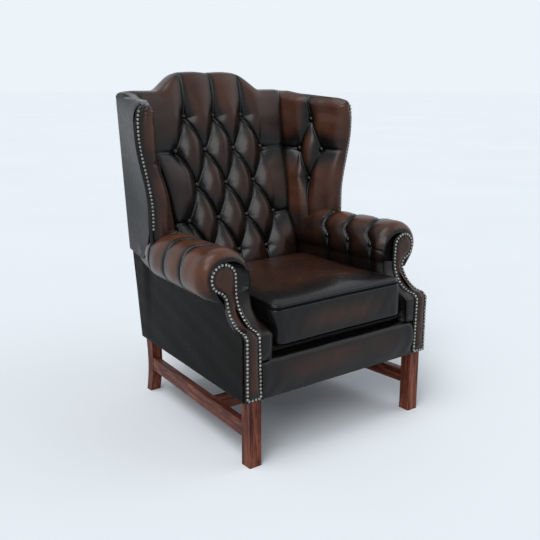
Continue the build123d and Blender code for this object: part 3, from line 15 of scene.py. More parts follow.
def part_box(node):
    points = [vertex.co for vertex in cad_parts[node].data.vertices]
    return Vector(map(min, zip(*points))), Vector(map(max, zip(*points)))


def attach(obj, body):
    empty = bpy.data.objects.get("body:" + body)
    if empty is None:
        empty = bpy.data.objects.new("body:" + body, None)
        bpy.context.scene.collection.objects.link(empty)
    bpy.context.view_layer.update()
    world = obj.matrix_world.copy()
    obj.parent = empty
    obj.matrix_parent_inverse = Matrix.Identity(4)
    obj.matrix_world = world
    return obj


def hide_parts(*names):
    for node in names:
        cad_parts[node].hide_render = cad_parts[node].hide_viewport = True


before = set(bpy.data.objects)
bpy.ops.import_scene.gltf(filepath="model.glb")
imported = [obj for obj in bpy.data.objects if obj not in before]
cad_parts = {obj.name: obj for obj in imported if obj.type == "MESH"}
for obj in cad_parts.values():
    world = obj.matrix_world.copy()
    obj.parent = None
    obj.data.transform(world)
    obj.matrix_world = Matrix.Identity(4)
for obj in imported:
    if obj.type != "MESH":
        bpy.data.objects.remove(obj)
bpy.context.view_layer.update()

# %% [markdown]
# ## Places on the chair
# All sizes are metres. Distances called "from the front" start at the front faces of the front
# legs, because that plane is easy to find on the real chair. The node boxes give it here. The
# leather begins at one height all round, just above the legs. What comes in pairs is worked out
# for the right side, and the left side is the same with its X turned round.

# %% Shared places and small helpers
front_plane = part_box("front_leg_right")[0][1]
seat_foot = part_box("inside_back_pad")[0][2]
seat_bottom = 0.207
sides = (("right", 1), ("left", -1))


def place(distance):
    """Y of something measured from the front."""
    return front_plane + distance


def smooth(edge_0, edge_1, value):
    """Smooth step from 0 at the first edge to 1 at the second."""
    t = np.clip((value - edge_0) / (edge_1 - edge_0), 0, 1)
    return t * t * (3 - 2 * t)


def bell(value):
    """Bell curve: 1 where the value is 0, and nearly nothing past 2 or -2."""
    return np.exp(-(value**2))


def relax(grid, middle, reach, axis, passes):
    """Softens a grid of points along one axis, near one of its lines."""
    away = np.abs(np.arange(grid.shape[axis]) - middle)
    weight = np.expand_dims(0.5 * smooth(reach, reach * 0.3, away), (1 - axis, 2))
    for _ in range(passes):
        beside = (np.roll(grid, 1, axis=axis) + np.roll(grid, -1, axis=axis)) / 2
        grid = grid + (beside - grid) * weight
    return grid


def deselect_all():
    """The loaded nodes arrive selected, and operators act on all that is selected."""
    if bpy.context.object and bpy.context.object.mode != "OBJECT":
        bpy.ops.object.mode_set(mode="OBJECT")
    bpy.ops.object.select_all(action="DESELECT")


def pick(piece):
    """Selects one piece alone and makes it the active one."""
    deselect_all()
    piece.select_set(True)
    bpy.context.view_layer.objects.active = piece


def join_parts(parts, name):
    """Joins parts into one smooth piece."""
    deselect_all()
    for part in parts:
        part.select_set(True)
    bpy.context.view_layer.objects.active = parts[0]
    bpy.ops.object.join()
    bpy.ops.object.shade_smooth()
    piece = bpy.context.object
    piece.name = name
    return piece


def cover_node(piece, material, body, node):
    """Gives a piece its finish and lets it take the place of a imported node."""
    piece.data.materials.append(material)
    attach(piece, body)
    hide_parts(node)


print("front plane", round(front_plane, 4), "seat foot", round(seat_foot, 3))

# %% [markdown]
# ## The camera
# The camera stands on the chair's left, about level with its crest and about two metres from
# the near arm, and looks down a little. The lens and the angles come from lining up the legs,
# arm fronts and wings.

# %% Camera
lens_mm = 50.6
sensor_mm = 36.0
eye = Vector((-1.501, -2.0018, 1.091))
heading = radians(37.24)
looking_down = radians(14.18)
roll = radians(0.07)
forward = Vector((
    sin(heading) * cos(looking_down), cos(heading) * cos(looking_down), -sin(looking_down)
))
camera_data = bpy.data.cameras.new("photo_camera")
camera_data.lens = lens_mm
camera_data.sensor_width = sensor_mm
camera_data.sensor_fit = "HORIZONTAL"
camera = bpy.data.objects.new("photo_camera", camera_data)
bpy.context.scene.collection.objects.link(camera)
turn = forward.to_track_quat("-Z", "Y").to_matrix().to_4x4() @ Matrix.Rotation(roll, 4, "Z")
camera.matrix_world = Matrix.Translation(eye) @ turn
bpy.context.scene.camera = camera
print("camera at", tuple(round(c, 3) for c in eye))

# %% [markdown]
# ## Finishes made from nodes
# Antique leather is dyed dark all over and rubbed back by hand where it stands proud, so its
# colour follows the shape: red-brown on the crowns, nearly black in folds and along edges. That
# black is partly the dye and partly painted shade, laid into folds, hollows and creases. Each
# leather piece carries a "proud" attribute, 0 in its folds and 1 on its crowns, which holds both
# the rubbing and the painted shade, and one node group turns it into colour. The same group
# serves the flat panels, which stay dark.

# %% Node group helpers
def new_group(name, inputs, outputs):
    """A shader node group: inputs are (label, kind, value), outputs are (label, kind)."""
    group = bpy.data.node_groups.new(name, "ShaderNodeTree")
    for label, kind, value in inputs:
        socket = group.interface.new_socket(label, in_out="INPUT", socket_type=kind)
        socket.default_value = value
    for label, kind in outputs:
        group.interface.new_socket(label, in_out="OUTPUT", socket_type=kind)
    start = group.nodes.new("NodeGroupInput")
    end = group.nodes.new("NodeGroupOutput")
    return group, start, end


def add_node(tree, kind, **settings):
    """Adds a node; settings that name an input socket set its value, others set the node."""
    node = tree.nodes.new(kind)
    for name, value in settings.items():
        label = name.replace("_", " ")
        if label in node.inputs:
            node.inputs[label].default_value = value
        else:
            setattr(node, name, value)
    return node


def ramp(tree, stops):
    """Colour ramp with (place, colour) stops."""
    node = tree.nodes.new("ShaderNodeValToRGB")
    elements = node.color_ramp.elements
    while len(elements) < len(stops):
        elements.new(0.5)
    for element, (spot, colour) in zip(elements, stops):
        element.position = spot
        element.color = (*colour, 1)
    return node


def mix_float(tree, low, high, factor):
    """Value between two numbers by a factor socket."""
    node = tree.nodes.new("ShaderNodeMapRange")
    node.inputs["To Min"].default_value = low
    node.inputs["To Max"].default_value = high
    tree.links.new(factor, node.inputs["Value"])
    return node.outputs["Result"]


def maths(tree, operation, *values, clamp=False):
    """One maths node; each value is a socket or a number."""
    node = tree.nodes.new("ShaderNodeMath")
    node.operation = operation
    node.use_clamp = clamp
    for index, value in enumerate(values):
        if isinstance(value, (int, float)):
            node.inputs[index].default_value = value
        else:
            tree.links.new(value, node.inputs[index])
    return node.outputs[0]


def mix_colours(tree, factor, first, second, blend_type="MIX"):
    """Colour between two sockets; the factor is a socket or a number."""
    node = tree.nodes.new("ShaderNodeMix")
    node.data_type = "RGBA"
    node.blend_type = blend_type
    if isinstance(factor, float):
        node.inputs["Factor"].default_value = factor
    else:
        tree.links.new(factor, node.inputs["Factor"])
    tree.links.new(first, node.inputs["A"])
    tree.links.new(second, node.inputs["B"])
    return node.outputs["Result"]


def new_finish(name):
    """A new material, with its node tree and its shader."""
    material = bpy.data.materials.new(name)
    material.use_nodes = True
    tree = material.node_tree
    return material, tree, tree.nodes["Principled BSDF"]


def add_bump(tree, shader, height, strength, distance):
    """Leads a height socket to the shader's normal through a bump node."""
    relief = add_node(tree, "ShaderNodeBump", Strength=strength, Distance=distance)
    tree.links.new(height, relief.inputs["Height"])
    tree.links.new(relief.outputs["Normal"], shader.inputs["Normal"])


def place_group(tree, shader, node_group, strength, distance):
    """A node group in a material, which gives its colour, roughness and bump to the shader."""
    group = tree.nodes.new("ShaderNodeGroup")
    group.node_tree = node_group
    tree.links.new(group.outputs["Color"], shader.inputs["Base Color"])
    tree.links.new(group.outputs["Roughness"], shader.inputs["Roughness"])
    add_bump(tree, shader, group.outputs["Height"], strength, distance)
    return group


surface_sockets = [
    ("Color", "NodeSocketColor"), ("Roughness", "NodeSocketFloat"), ("Height", "NodeSocketFloat"),
]

# %% [markdown]
# ### Leather grain
# Hide has a pebble of about a millimetre, creases where it bends, and a little mottling of dye.
# Voronoi cells make the pebble, and noises of three sizes make the creases, the rubbing and the
# mottling.

# %% Leather group
pebble_scale = 620.0
crease_scale = 55.0
mottle_scale = 9.0
rub_scale = 26.0

leather_group, g_in, g_out = new_group(
    "antique_leather",
    [
        ("Proud", "NodeSocketFloat", 0.0),
        ("Rub", "NodeSocketFloat", 1.0),
        ("Dark", "NodeSocketColor", (0.009, 0.0085, 0.008, 1)),
        ("Brown", "NodeSocketColor", (0.105, 0.030, 0.015, 1)),
    ],
    surface_sockets,
)
coords = leather_group.nodes.new("ShaderNodeTexCoord")
where = coords.outputs["Object"]
mottle = add_node(leather_group, "ShaderNodeTexNoise", Scale=mottle_scale, Detail=5.0, Roughness=0.55)
rubbing = add_node(leather_group, "ShaderNodeTexNoise", Scale=rub_scale, Detail=6.0, Roughness=0.6)
pebble = add_node(leather_group, "ShaderNodeTexVoronoi", Scale=pebble_scale)
pebble.feature = "SMOOTH_F1"
crease = add_node(leather_group, "ShaderNodeTexNoise", Scale=crease_scale, Detail=8.0, Roughness=0.62)
for node in (mottle, rubbing, pebble, crease):
    leather_group.links.new(where, node.inputs["Vector"])
# the proud value (rubbed crowns, painted shade in the folds) times how much it is rubbed,
# pushed about by two of the noises
raised = maths(leather_group, "MULTIPLY", g_in.outputs["Proud"], g_in.outputs["Rub"])
patchy = maths(leather_group, "SUBTRACT", mottle.outputs["Fac"], 0.5)
patchy = maths(leather_group, "MULTIPLY", patchy, 1.3)
fine = maths(leather_group, "SUBTRACT", rubbing.outputs["Fac"], 0.5)
fine = maths(leather_group, "MULTIPLY", fine, 0.45)
drift = maths(leather_group, "ADD", patchy, fine)
drift = maths(leather_group, "MULTIPLY", drift, raised)
share = maths(leather_group, "ADD", raised, drift, clamp=True)
share = maths(leather_group, "POWER", share, 1.35, clamp=True)
dyed = mix_colours(leather_group, share, g_in.outputs["Dark"], g_in.outputs["Brown"])
leather_group.links.new(dyed, g_out.inputs["Color"])
rough = maths(leather_group, "MULTIPLY_ADD", crease.outputs["Fac"], 0.16, 0.21)
leather_group.links.new(rough, g_out.inputs["Roughness"])
bumpy = maths(leather_group, "MULTIPLY", crease.outputs["Fac"], 1.6)
bumpy = maths(leather_group, "ADD", bumpy, pebble.outputs["Distance"])
leather_group.links.new(bumpy, g_out.inputs["Height"])
print("leather group", len(leather_group.nodes), "nodes")


def make_leather(name, rub, dark, brown, bump=0.26, gloss=0.05, shine=0.24):
    """One leather finish: the group feeds a Principled shader."""
    material, tree, shader = new_finish(name)
    group = place_group(tree, shader, leather_group, bump, 0.0006)
    group.inputs["Rub"].default_value = rub
    group.inputs["Dark"].default_value = (*dark, 1)
    group.inputs["Brown"].default_value = (*brown, 1)
    proud = tree.nodes.new("ShaderNodeAttribute")
    proud.attribute_name = "proud"
    tree.links.new(proud.outputs["Fac"], group.inputs["Proud"])
    shader.inputs["Specular IOR Level"].default_value = shine
    shader.inputs["Coat Weight"].default_value = gloss
    shader.inputs["Coat Roughness"].default_value = 0.15
    return material


near_black = (0.0036, 0.0032, 0.0030)
red_brown = (0.088, 0.031, 0.016)
panel_black = (0.0042, 0.0039, 0.0035)
panel_brown = (0.014, 0.0078, 0.0056)
button_brown = (0.03, 0.014, 0.01)
tufted_leather = make_leather("buttoned_leather", 1.0, near_black, red_brown)
panel_leather = make_leather(
    "outside_leather", 0.6, panel_black, panel_brown, bump=0.4, gloss=0.0, shine=0.03
)
button_leather = make_leather("button_leather", 0.3, near_black, button_brown, gloss=0.3)

# %% [markdown]
# ### Polished mahogany
# The legs and stretchers are stained red and polished. Grain runs along each piece, so one
# group multiplies Object coordinates by a stretch that is small along the grain.

# %% Wood group
wood_group, g_in, g_out = new_group(
    "mahogany",
    [("Stretch", "NodeSocketVector", (60.0, 60.0, 4.0))],
    surface_sockets,
)
coords = wood_group.nodes.new("ShaderNodeTexCoord")
along = wood_group.nodes.new("ShaderNodeVectorMath")
along.operation = "MULTIPLY"
wood_group.links.new(coords.outputs["Object"], along.inputs[0])
wood_group.links.new(g_in.outputs["Stretch"], along.inputs[1])
figure = add_node(wood_group, "ShaderNodeTexNoise", Scale=1.0, Detail=6.0, Roughness=0.6, Distortion=0.6)
pores = add_node(wood_group, "ShaderNodeTexNoise", Scale=5.5, Detail=3.0, Roughness=0.7)
patch = add_node(wood_group, "ShaderNodeTexNoise", Scale=7.0, Detail=2.0)
wood_group.links.new(along.outputs[0], figure.inputs["Vector"])
wood_group.links.new(along.outputs[0], pores.inputs["Vector"])
wood_group.links.new(coords.outputs["Object"], patch.inputs["Vector"])
wood_colours = ramp(wood_group, [
    (0.30, (0.030, 0.0060, 0.0040)),
    (0.44, (0.105, 0.0260, 0.0160)),
    (0.58, (0.210, 0.0620, 0.0350)),
    (0.74, (0.320, 0.1250, 0.0680)),
])
tone = maths(wood_group, "MULTIPLY", patch.outputs["Fac"], 0.30)
tone = maths(wood_group, "ADD", tone, -0.15)
tone = maths(wood_group, "ADD", tone, figure.outputs["Fac"])
wood_group.links.new(tone, wood_colours.inputs["Fac"])
pore_dark = ramp(wood_group, [(0.42, (0.25, 0.2, 0.2)), (0.52, (1, 1, 1))])
wood_group.links.new(pores.outputs["Fac"], pore_dark.inputs["Fac"])
darker = mix_colours(
    wood_group, 0.8, wood_colours.outputs["Color"], pore_dark.outputs["Color"], "MULTIPLY"
)
wood_group.links.new(darker, g_out.inputs["Color"])
wood_rough = mix_float(wood_group, 0.30, 0.52, pores.outputs["Fac"])
wood_group.links.new(wood_rough, g_out.inputs["Roughness"])
wood_group.links.new(pores.outputs["Fac"], g_out.inputs["Height"])


def make_wood(name, stretch):
    """Polished mahogany with its grain along one axis."""
    material, tree, shader = new_finish(name)
    group = place_group(tree, shader, wood_group, 0.25, 0.0005)
    group.inputs["Stretch"].default_value = stretch
    shader.inputs["Specular IOR Level"].default_value = 0.12
    shader.inputs["Coat Weight"].default_value = 0.05
    shader.inputs["Coat Roughness"].default_value = 0.3
    return material


across_grain = 75.0
along_grain = 4.0
upright_wood = make_wood("mahogany_upright", (across_grain, across_grain, along_grain))
lengthwise_wood = make_wood("mahogany_lengthwise", (across_grain, along_grain, across_grain))
crosswise_wood = make_wood("mahogany_crosswise", (along_grain, across_grain, across_grain))

# %% [markdown]
# ### Plain beech, webbing, canvas, steel and pewter
# The parts inside the chair are seen only from below or with the cushion lifted, but each has
# its own finish. The nail heads are dull pewter, mottled light and dark.

# %% Simple finishes
def make_plain(name, dark, light, scale, rough, metallic=0.0, bump=0.3, depth=0.0005, stretch=None):
    """A finish that wanders between two colours, with a matching bump."""
    material, tree, shader = new_finish(name)
    coords = tree.nodes.new("ShaderNodeTexCoord")
    mapping = tree.nodes.new("ShaderNodeMapping")
    mapping.inputs["Scale"].default_value = stretch or (1, 1, 1)
    noise = add_node(tree, "ShaderNodeTexNoise", Scale=scale, Detail=6.0, Roughness=0.6)
    colours = ramp(tree, [(0.35, dark), (0.65, light)])
    tree.links.new(coords.outputs["Object"], mapping.inputs["Vector"])
    tree.links.new(mapping.outputs["Vector"], noise.inputs["Vector"])
    tree.links.new(noise.outputs["Fac"], colours.inputs["Fac"])
    tree.links.new(colours.outputs["Color"], shader.inputs["Base Color"])
    add_bump(tree, shader, noise.outputs["Fac"], bump, depth)
    dullness = mix_float(tree, rough - 0.08, rough + 0.08, noise.outputs["Fac"])
    tree.links.new(dullness, shader.inputs["Roughness"])
    shader.inputs["Metallic"].default_value = metallic
    return material


beech = make_plain("beech", (0.36, 0.21, 0.11), (0.52, 0.34, 0.19), 6.0, 0.6, stretch=(8, 1, 8))
steel = make_plain("spring_steel", (0.16, 0.155, 0.15), (0.30, 0.29, 0.28), 60.0, 0.38, metallic=0.9)
pewter = make_plain("pewter_nail", (0.15, 0.14, 0.125), (0.48, 0.45, 0.41), 160.0, 0.36, metallic=0.85)


def make_weave(name, dark, light, threads):
    """Weave: threads along all three axes as crossed waves, with a little slub."""
    material, tree, shader = new_finish(name)
    coords = tree.nodes.new("ShaderNodeTexCoord")
    heights = []
    for direction in ("X", "Y", "Z"):
        wave = add_node(tree, "ShaderNodeTexWave", Scale=threads, Distortion=0.4)
        wave.bands_direction = direction
        tree.links.new(coords.outputs["Object"], wave.inputs["Vector"])
        heights.append(wave.outputs["Fac"])
    crossed = maths(tree, "MULTIPLY", maths(tree, "MULTIPLY", heights[0], heights[1]), heights[2])
    slub = add_node(tree, "ShaderNodeTexNoise", Scale=40.0, Detail=4.0)
    tree.links.new(coords.outputs["Object"], slub.inputs["Vector"])
    tone = maths(tree, "ADD", crossed, slub.outputs["Fac"])
    colours = ramp(tree, [(0.35, dark), (0.95, light)])
    tree.links.new(tone, colours.inputs["Fac"])
    add_bump(tree, shader, crossed, 0.6, 0.0004)
    tree.links.new(colours.outputs["Color"], shader.inputs["Base Color"])
    shader.inputs["Roughness"].default_value = 0.9
    return material


jute = make_weave("jute_webbing", (0.20, 0.13, 0.06), (0.46, 0.33, 0.18), 330.0)
black_cloth = make_weave("black_cloth", (0.006, 0.006, 0.006), (0.02, 0.02, 0.019), 420.0)
canvas = make_weave("deck_canvas", (0.014, 0.011, 0.009), (0.045, 0.034, 0.026), 380.0)


def dress_node(node, material):
    """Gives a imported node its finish."""
    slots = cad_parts[node].data.materials
    slots.clear()
    slots.append(material)


node_finishes = {
    upright_wood: ("front_leg_left", "front_leg_right", "rear_leg_left", "rear_leg_right"),
    lengthwise_wood: ("side_stretcher_left", "side_stretcher_right"),
    crosswise_wood: ("cross_stretcher",),
    beech: (
        "arm_post_left", "arm_post_right", "arm_rail_left", "arm_rail_right",
        "arm_tacking_rail_left", "arm_tacking_rail_right", "back_seat_rail", "back_upright_left",
        "back_upright_right", "corner_blocks", "crest_rail", "front_seat_rail", "lower_back_rail",
        "side_seat_rail_left", "side_seat_rail_right", "wing_post_left", "wing_post_right",
        "wing_top_rail_left", "wing_top_rail_right",
    ),
    steel: ("seat_springs", "spring_clips", "corner_screws"),
    pewter: ("facing_nails_left", "facing_nails_right", "wing_nails_left", "wing_nails_right"),
    jute: ("upright_webbing", "level_webbing"),
    black_cloth: ("dust_cover",),
}
for finish, nodes in node_finishes.items():
    for node in nodes:
        dress_node(node, finish)
print("nodes with their own finish", sum(len(nodes) for nodes in node_finishes.values()))

# %% [markdown]
# ## Leather forms from sections
# Buttoned upholstery could be sculpted, or simulated as cloth that is pinned at each button. A
# simulation gives no say in where the folds fall, and on this chair they follow a strict
# diamond pattern. So each form starts as a grid primitive, its points are laid along sections
# of the padded shape, and every point is then pushed in or out by a height that is worked out
# from its distance to the folds.

# %% Section helpers
merge_distance = 0.00002


def lay_grid(name, points, proud, closed=True):
    """A grid primitive laid along sections: rows of points, and the proud value of each, painted shade
    included.
    """
    rows, columns = points.shape[:2]
    deselect_all()
    bpy.ops.mesh.primitive_grid_add(x_subdivisions=columns - 1, y_subdivisions=rows - 1, size=1)
    piece = bpy.context.object
    piece.name = name
    mesh = piece.data
    mesh.name = name
    mesh.vertices.foreach_set("co", np.ascontiguousarray(points, dtype=np.float32).ravel())
    shade = mesh.attributes.new("proud", "FLOAT", "POINT")
    shade.data.foreach_set("value", np.clip(proud, 0, 1).astype(np.float32).ravel())
    bpy.ops.object.mode_set(mode="EDIT")
    bpy.ops.mesh.select_all(action="SELECT")
    bpy.ops.mesh.remove_doubles(threshold=merge_distance)
    if closed:
        bpy.ops.mesh.select_all(action="SELECT")
        bpy.ops.mesh.fill_holes(sides=0)
        bpy.ops.mesh.select_all(action="SELECT")
        bpy.ops.mesh.normals_make_consistent(inside=False)
    bpy.ops.object.mode_set(mode="OBJECT")
    bpy.ops.object.shade_smooth()
    print(name, len(mesh.vertices), "points")
    return piece


def surface_normals(points):
    """Unit normals of a grid of points, from the steps between neighbours."""
    down = np.gradient(points, axis=0)
    across = np.gradient(points, axis=1)
    normal = np.cross(across, down)
    length = np.linalg.norm(normal, axis=2, keepdims=True)
    return normal / np.maximum(length, 1e-12)


def ripple(seed, *axes):
    """Gentle, repeatable unevenness between about -1 and 1, from sums of sines."""
    generator = np.random.default_rng(seed)
    total = 0
    for turn in range(5):
        phase = generator.uniform(0, 2 * pi)
        total = total + np.sin(sum(axis * generator.normal(0, 1 + turn / 2) for axis in axes) + phase)
    return total / 3


def arc_points(start, middle, end, count):
    """Points along the arc through three points of a plane, without the last one."""
    (x1, y1), (x2, y2), (x3, y3) = start, middle, end
    cross = 2 * (x1 * (y2 - y3) + x2 * (y3 - y1) + x3 * (y1 - y2))
    if abs(cross) < 1e-12:
        return [(x1 + (x3 - x1) * t, y1 + (y3 - y1) * t) for t in np.arange(count) / count]
    s1, s2, s3 = x1 * x1 + y1 * y1, x2 * x2 + y2 * y2, x3 * x3 + y3 * y3
    cx = (s1 * (y2 - y3) + s2 * (y3 - y1) + s3 * (y1 - y2)) / cross
    cy = (s1 * (x3 - x2) + s2 * (x1 - x3) + s3 * (x2 - x1)) / cross
    a1, a2, a3 = (np.arctan2(y - cy, x - cx) for x, y in (start, middle, end))
    turn = (a3 - a1) % (2 * pi)
    if (a2 - a1) % (2 * pi) > turn:
        turn -= 2 * pi
    radius = np.hypot(x1 - cx, y1 - cy)
    angles = a1 + turn * np.arange(count) / count
    return list(zip(cx + radius * np.cos(angles), cy + radius * np.sin(angles)))


def fold_height(p, q, lift, swell):
    """Height of diamond tufting: buttons stand where p and q are both whole numbers."""
    side = np.abs(np.sin(pi * p))
    other = np.abs(np.sin(pi * q))
    return lift * (1 - (1 - side) * (1 - other)) + swell * side**0.55 * other**1.05


# %% [markdown]
# ## Inside back
# The back has seventeen buttons in rows of three and four. Leather is folded into a pleat
# between each button and its neighbours, and the pleats run on over the crest and into the
# wings. The crisp edge of every pleat runs down to the right, as the upholsterer laid them.

# %% Shape of the inside back
button_gap = 0.12
row_gap = 0.11475
first_row = 0.505
row_count = 5
back_lean = 0.349
foot_lean = 0.06
first_row_place = 0.545
back_height = 1.110
shoulder = 1.048
outside_lean = 0.106
back_rear = 0.402
crest_roll = 0.036
pleat_lift = 0.012
puff_swell = 0.026
full_lift = 0.024


def outside_back(z):
    """Rear face of the timber back, where the outside leather is tacked on."""
    return back_rear - outside_lean * (back_height - 0.007 - z) - 0.004


def inside_back(z):
    """Line of the back on which the buttons sit, with a soft bend behind the cushion."""
    bend = 0.012
    rise = z - first_row
    eased = bend * np.logaddexp(0, rise / bend)
    return place(first_row_place) + foot_lean * rise + (back_lean - foot_lean) * eased


def crest_height(x):
    """Top of the back, which drops from the middle to the shoulders."""
    return back_height - (back_height - shoulder) * smooth(0.110, 0.220, np.abs(x))


def half_back(z):
    """Half width of the inside back between arms and wings."""
    return 0.256 + 0.062 * np.clip((z - 0.630) / (shoulder - 0.630), 0, 1)


def tufting(x, z):
    """Height of the buttoned leather ahead of the button line, and its proud value with painted shade.
    """
    s = x / (button_gap / 2)
    r = (z - first_row) / row_gap
    wander = 0.012 * ripple(3, x * 9, z * 8)
    s_in = np.clip(s, -3, 3)
    r_in = np.clip(r, 0, row_count - 1)
    p = (s_in + r_in) / 2 + wander * np.abs(np.sin(pi * s_in) * np.sin(pi * r_in))
    q = (s_in - r_in) / 2
    lean = 0.07 * np.sin(pi * p) ** 2
    whole = pleat_lift + puff_swell
    height = fold_height(p - lean, q, pleat_lift, puff_swell)
    outside = np.hypot((s - s_in) * button_gap / 2, (r - r_in) * row_gap)
    height = whole - (whole - height) * (0.22 + 0.78 * np.exp(-outside / 0.040))
    # crisp pleat edge along whole values of p, softer valley along whole values of q
    steep = 9.4
    p_gap = np.abs(p - np.round(p)) / steep
    q_gap = np.abs(q - np.round(q)) / steep
    calm = 0.55 + 0.45 * np.exp(-outside / 0.05)
    height = height - 0.0052 * calm * bell(p_gap / 0.0026)
    height = height - 0.0018 * calm * bell(q_gap / 0.0050)
    # each button pulls a deep hollow with a few short puckers
    even = np.mod(np.round(r_in), 2) == 0
    in_threes = 2 * np.clip(np.round(s_in / 2), -1, 1)
    in_fours = np.clip(2 * np.floor(s_in / 2) + 1, -3, 3)
    column = np.where(even, in_threes, in_fours)
    dx = (s - column) * button_gap / 2
    dz = (r - np.round(r_in)) * row_gap
    reach = np.hypot(dx, dz)
    puckers = np.sin(9 * np.arctan2(dz, dx) + 3 * ripple(5, x * 20, z * 20))
    height = height + 0.0006 * puckers * np.exp(-reach / 0.014) * smooth(0.006, 0.012, reach)
    height = height - 0.004 * bell(reach / 0.016)
    height = height * (1 + 0.05 * ripple(7, x * 14, z * 12))
    # dark along the pleats, round each button and where the leather lies low: painted shade in the folds
    # and hollows, over the dark of the unrubbed dye
    proud = smooth(0.0, 0.020, p_gap) * smooth(0.0, 0.030, q_gap + outside * 0.10)
    proud = proud * smooth(0.012, 0.040, reach) * smooth(0.35, 0.85, height / whole)
    # the leather is darker low on the back and toward the wings
    proud = proud * (0.45 + 0.35 * smooth(0.90, 1.08, z)) * (1 - 0.35 * smooth(0.19, 0.27, np.abs(x)))
    return np.maximum(height, -0.003), proud


# %% Build the inside back
face_rows, crest_rows, columns = 200, 44, 230
u = np.linspace(-1, 1, columns)
crest_x = u * half_back(1.2)
crest = crest_height(crest_x)
turn_z = crest - crest_roll
levels = np.linspace(0, 1, face_rows)[:, None]
face_z = seat_foot + (turn_z - seat_foot)[None, :] * levels
face_x = u[None, :] * half_back(face_z)
face_y = inside_back(face_z) - full_lift
face = np.stack([face_x, face_y, face_z], axis=2)

angle = np.linspace(0, pi, crest_rows + 1)[1:, None]
front_y = face_y[-1]
rear_y = outside_back(crest - 0.007)
mid_y = (front_y + rear_y) / 2
half_depth = (rear_y - front_y) / 2
arc_y = mid_y - half_depth * np.cos(angle)
drop = np.where(angle < pi / 2, crest_roll, 0.009)
arc_z = crest - drop * (1 - np.sin(angle))
arc = np.stack([np.broadcast_to(crest_x, arc_y.shape), arc_y, arc_z], axis=2)
skin = np.concatenate([face, arc], axis=0)

fade = np.concatenate([
    np.ones((face_rows, columns)),
    np.broadcast_to(1 - 0.62 * smooth(0, pi / 2, angle), (crest_rows, columns)),
])
skin_z = np.concatenate([face_z, turn_z + np.broadcast_to(angle, arc_y.shape) * crest_roll], axis=0)
height, proud = tufting(skin[:, :, 0], skin_z)
edge = (1 - np.abs(u))[None, :] * half_back(skin[:, :, 2])
tuck = 0.026 * bell(edge / 0.016) * (1 - 0.9 * (1 - fade) / 0.62)
relief = (height - full_lift) * fade - 0.004 * (1 - fade) - tuck
rear_fade = 1 - smooth(2.4, pi, np.concatenate([np.zeros((face_rows, 1)), angle]))
relief = relief * rear_fade
front = relax(skin + surface_normals(skin) * relief[:, :, None], face_rows, 14, 0, 60)
# painted shade in the creases beside the wings; less brown over the crest and down its back
proud = 0.82 * proud * smooth(0.004, 0.05, edge) * (0.35 + 0.65 * fade)

lining_z = np.linspace(1, 0, 8)[1:, None] * (crest[None, :] - 0.05 - seat_foot) + seat_foot
lining_y = outside_back(lining_z) - 0.028
lining = np.stack([u[None, :] * half_back(lining_z), lining_y, lining_z], axis=2)
loop = np.concatenate([front, lining, front[:1]], axis=0)
loop_proud = np.concatenate([proud, np.zeros((8, columns))], axis=0)
inside_back_leather = lay_grid("inside_back_leather", loop, loop_proud)
cover_node(
    inside_back_leather, tufted_leather, "chair", "inside_back_pad"
)

# %% [markdown]
# ## Wings
# A wing is a padded board that stands on the arm. Its inner face has four buttons in a diamond,
# its front edge is a soft roll that ends in a row of nails, and its top closes in a rounded
# ridge.

# %% Shape of a wing
wing_front = place(0.449)
wing_rear = place(0.698)
nail_low = 0.390
nail_flare = 0.040
flare_low, flare_high = 0.680, 0.950
nail_top = 1.025
wing_seat = 0.545
mean_top = 1.035
rail_end = 0.331
edge_margin = 0.010
shoulder_rise = 0.060
shoulder_in = 0.034
ridge = 0.030
corner_round = 0.056
rear_round = 0.020
button_share = 0.55
button_step = 0.19
low_button = 0.731
wing_pitch = 0.107
wing_lift = 0.010
wing_swell = 0.017


def wing_nail_x(z):
    """Nail line on the front edge of a wing."""
    climb = np.clip((z - nail_top + shoulder_rise) / shoulder_rise, 0, 1)
    flare = nail_flare * smooth(flare_low, flare_high, z)
    return nail_low + flare - shoulder_in * (1 - np.sqrt(1 - climb**2))


def wing_top(y):
    """Top line of a wing, from its front to the crest, with its rear corner rounded off."""
    past = np.clip(y - (outside_back(1.03) - rear_round), 0, rear_round)
    fall = rear_round - np.sqrt(rear_round**2 - past**2)
    share = np.clip((y - wing_front) / (wing_rear - wing_front), 0, 1)
    nose = 0.011 * (1 - np.clip((y - wing_front) / 0.055, 0, 1)) ** 2
    return nail_top + 0.021 * share - 0.006 * np.sin(pi * share) - 0.8 * fall - nose


def wing_outer(y, z):
    """Outer surface of a wing."""
    edge_x = wing_nail_x(z) + edge_margin
    share = (y - wing_front) / (outside_back(z) - wing_front)
    return edge_x + (rail_end - edge_x) * share


def round_over(x, y, z, cap):
    """Rounds the top ridge of a wing (cap from 0 to a right angle) and its front corner."""
    middle = (half_back(z) + wing_outer(y, z)) / 2
    share = np.clip((y - wing_front) / 0.20, 0, 1)
    middle = middle * share + (wing_nail_x(z) - 0.018) * (1 - share)
    x = middle + (x - middle) * np.cos(cap) ** 0.9
    front_limit = wing_front - 0.034
    low_corner = nail_top - corner_round
    drop = np.clip(z - low_corner, 0, corner_round - 0.0005)
    shift = corner_round - np.sqrt(corner_round**2 - drop**2)
    limit = front_limit + shift
    soft = 0.002
    cut = limit + soft * np.logaddexp(0, (y - limit) / soft)
    y = np.where(drop > 0, np.maximum(cut, y), y)
    return x, y


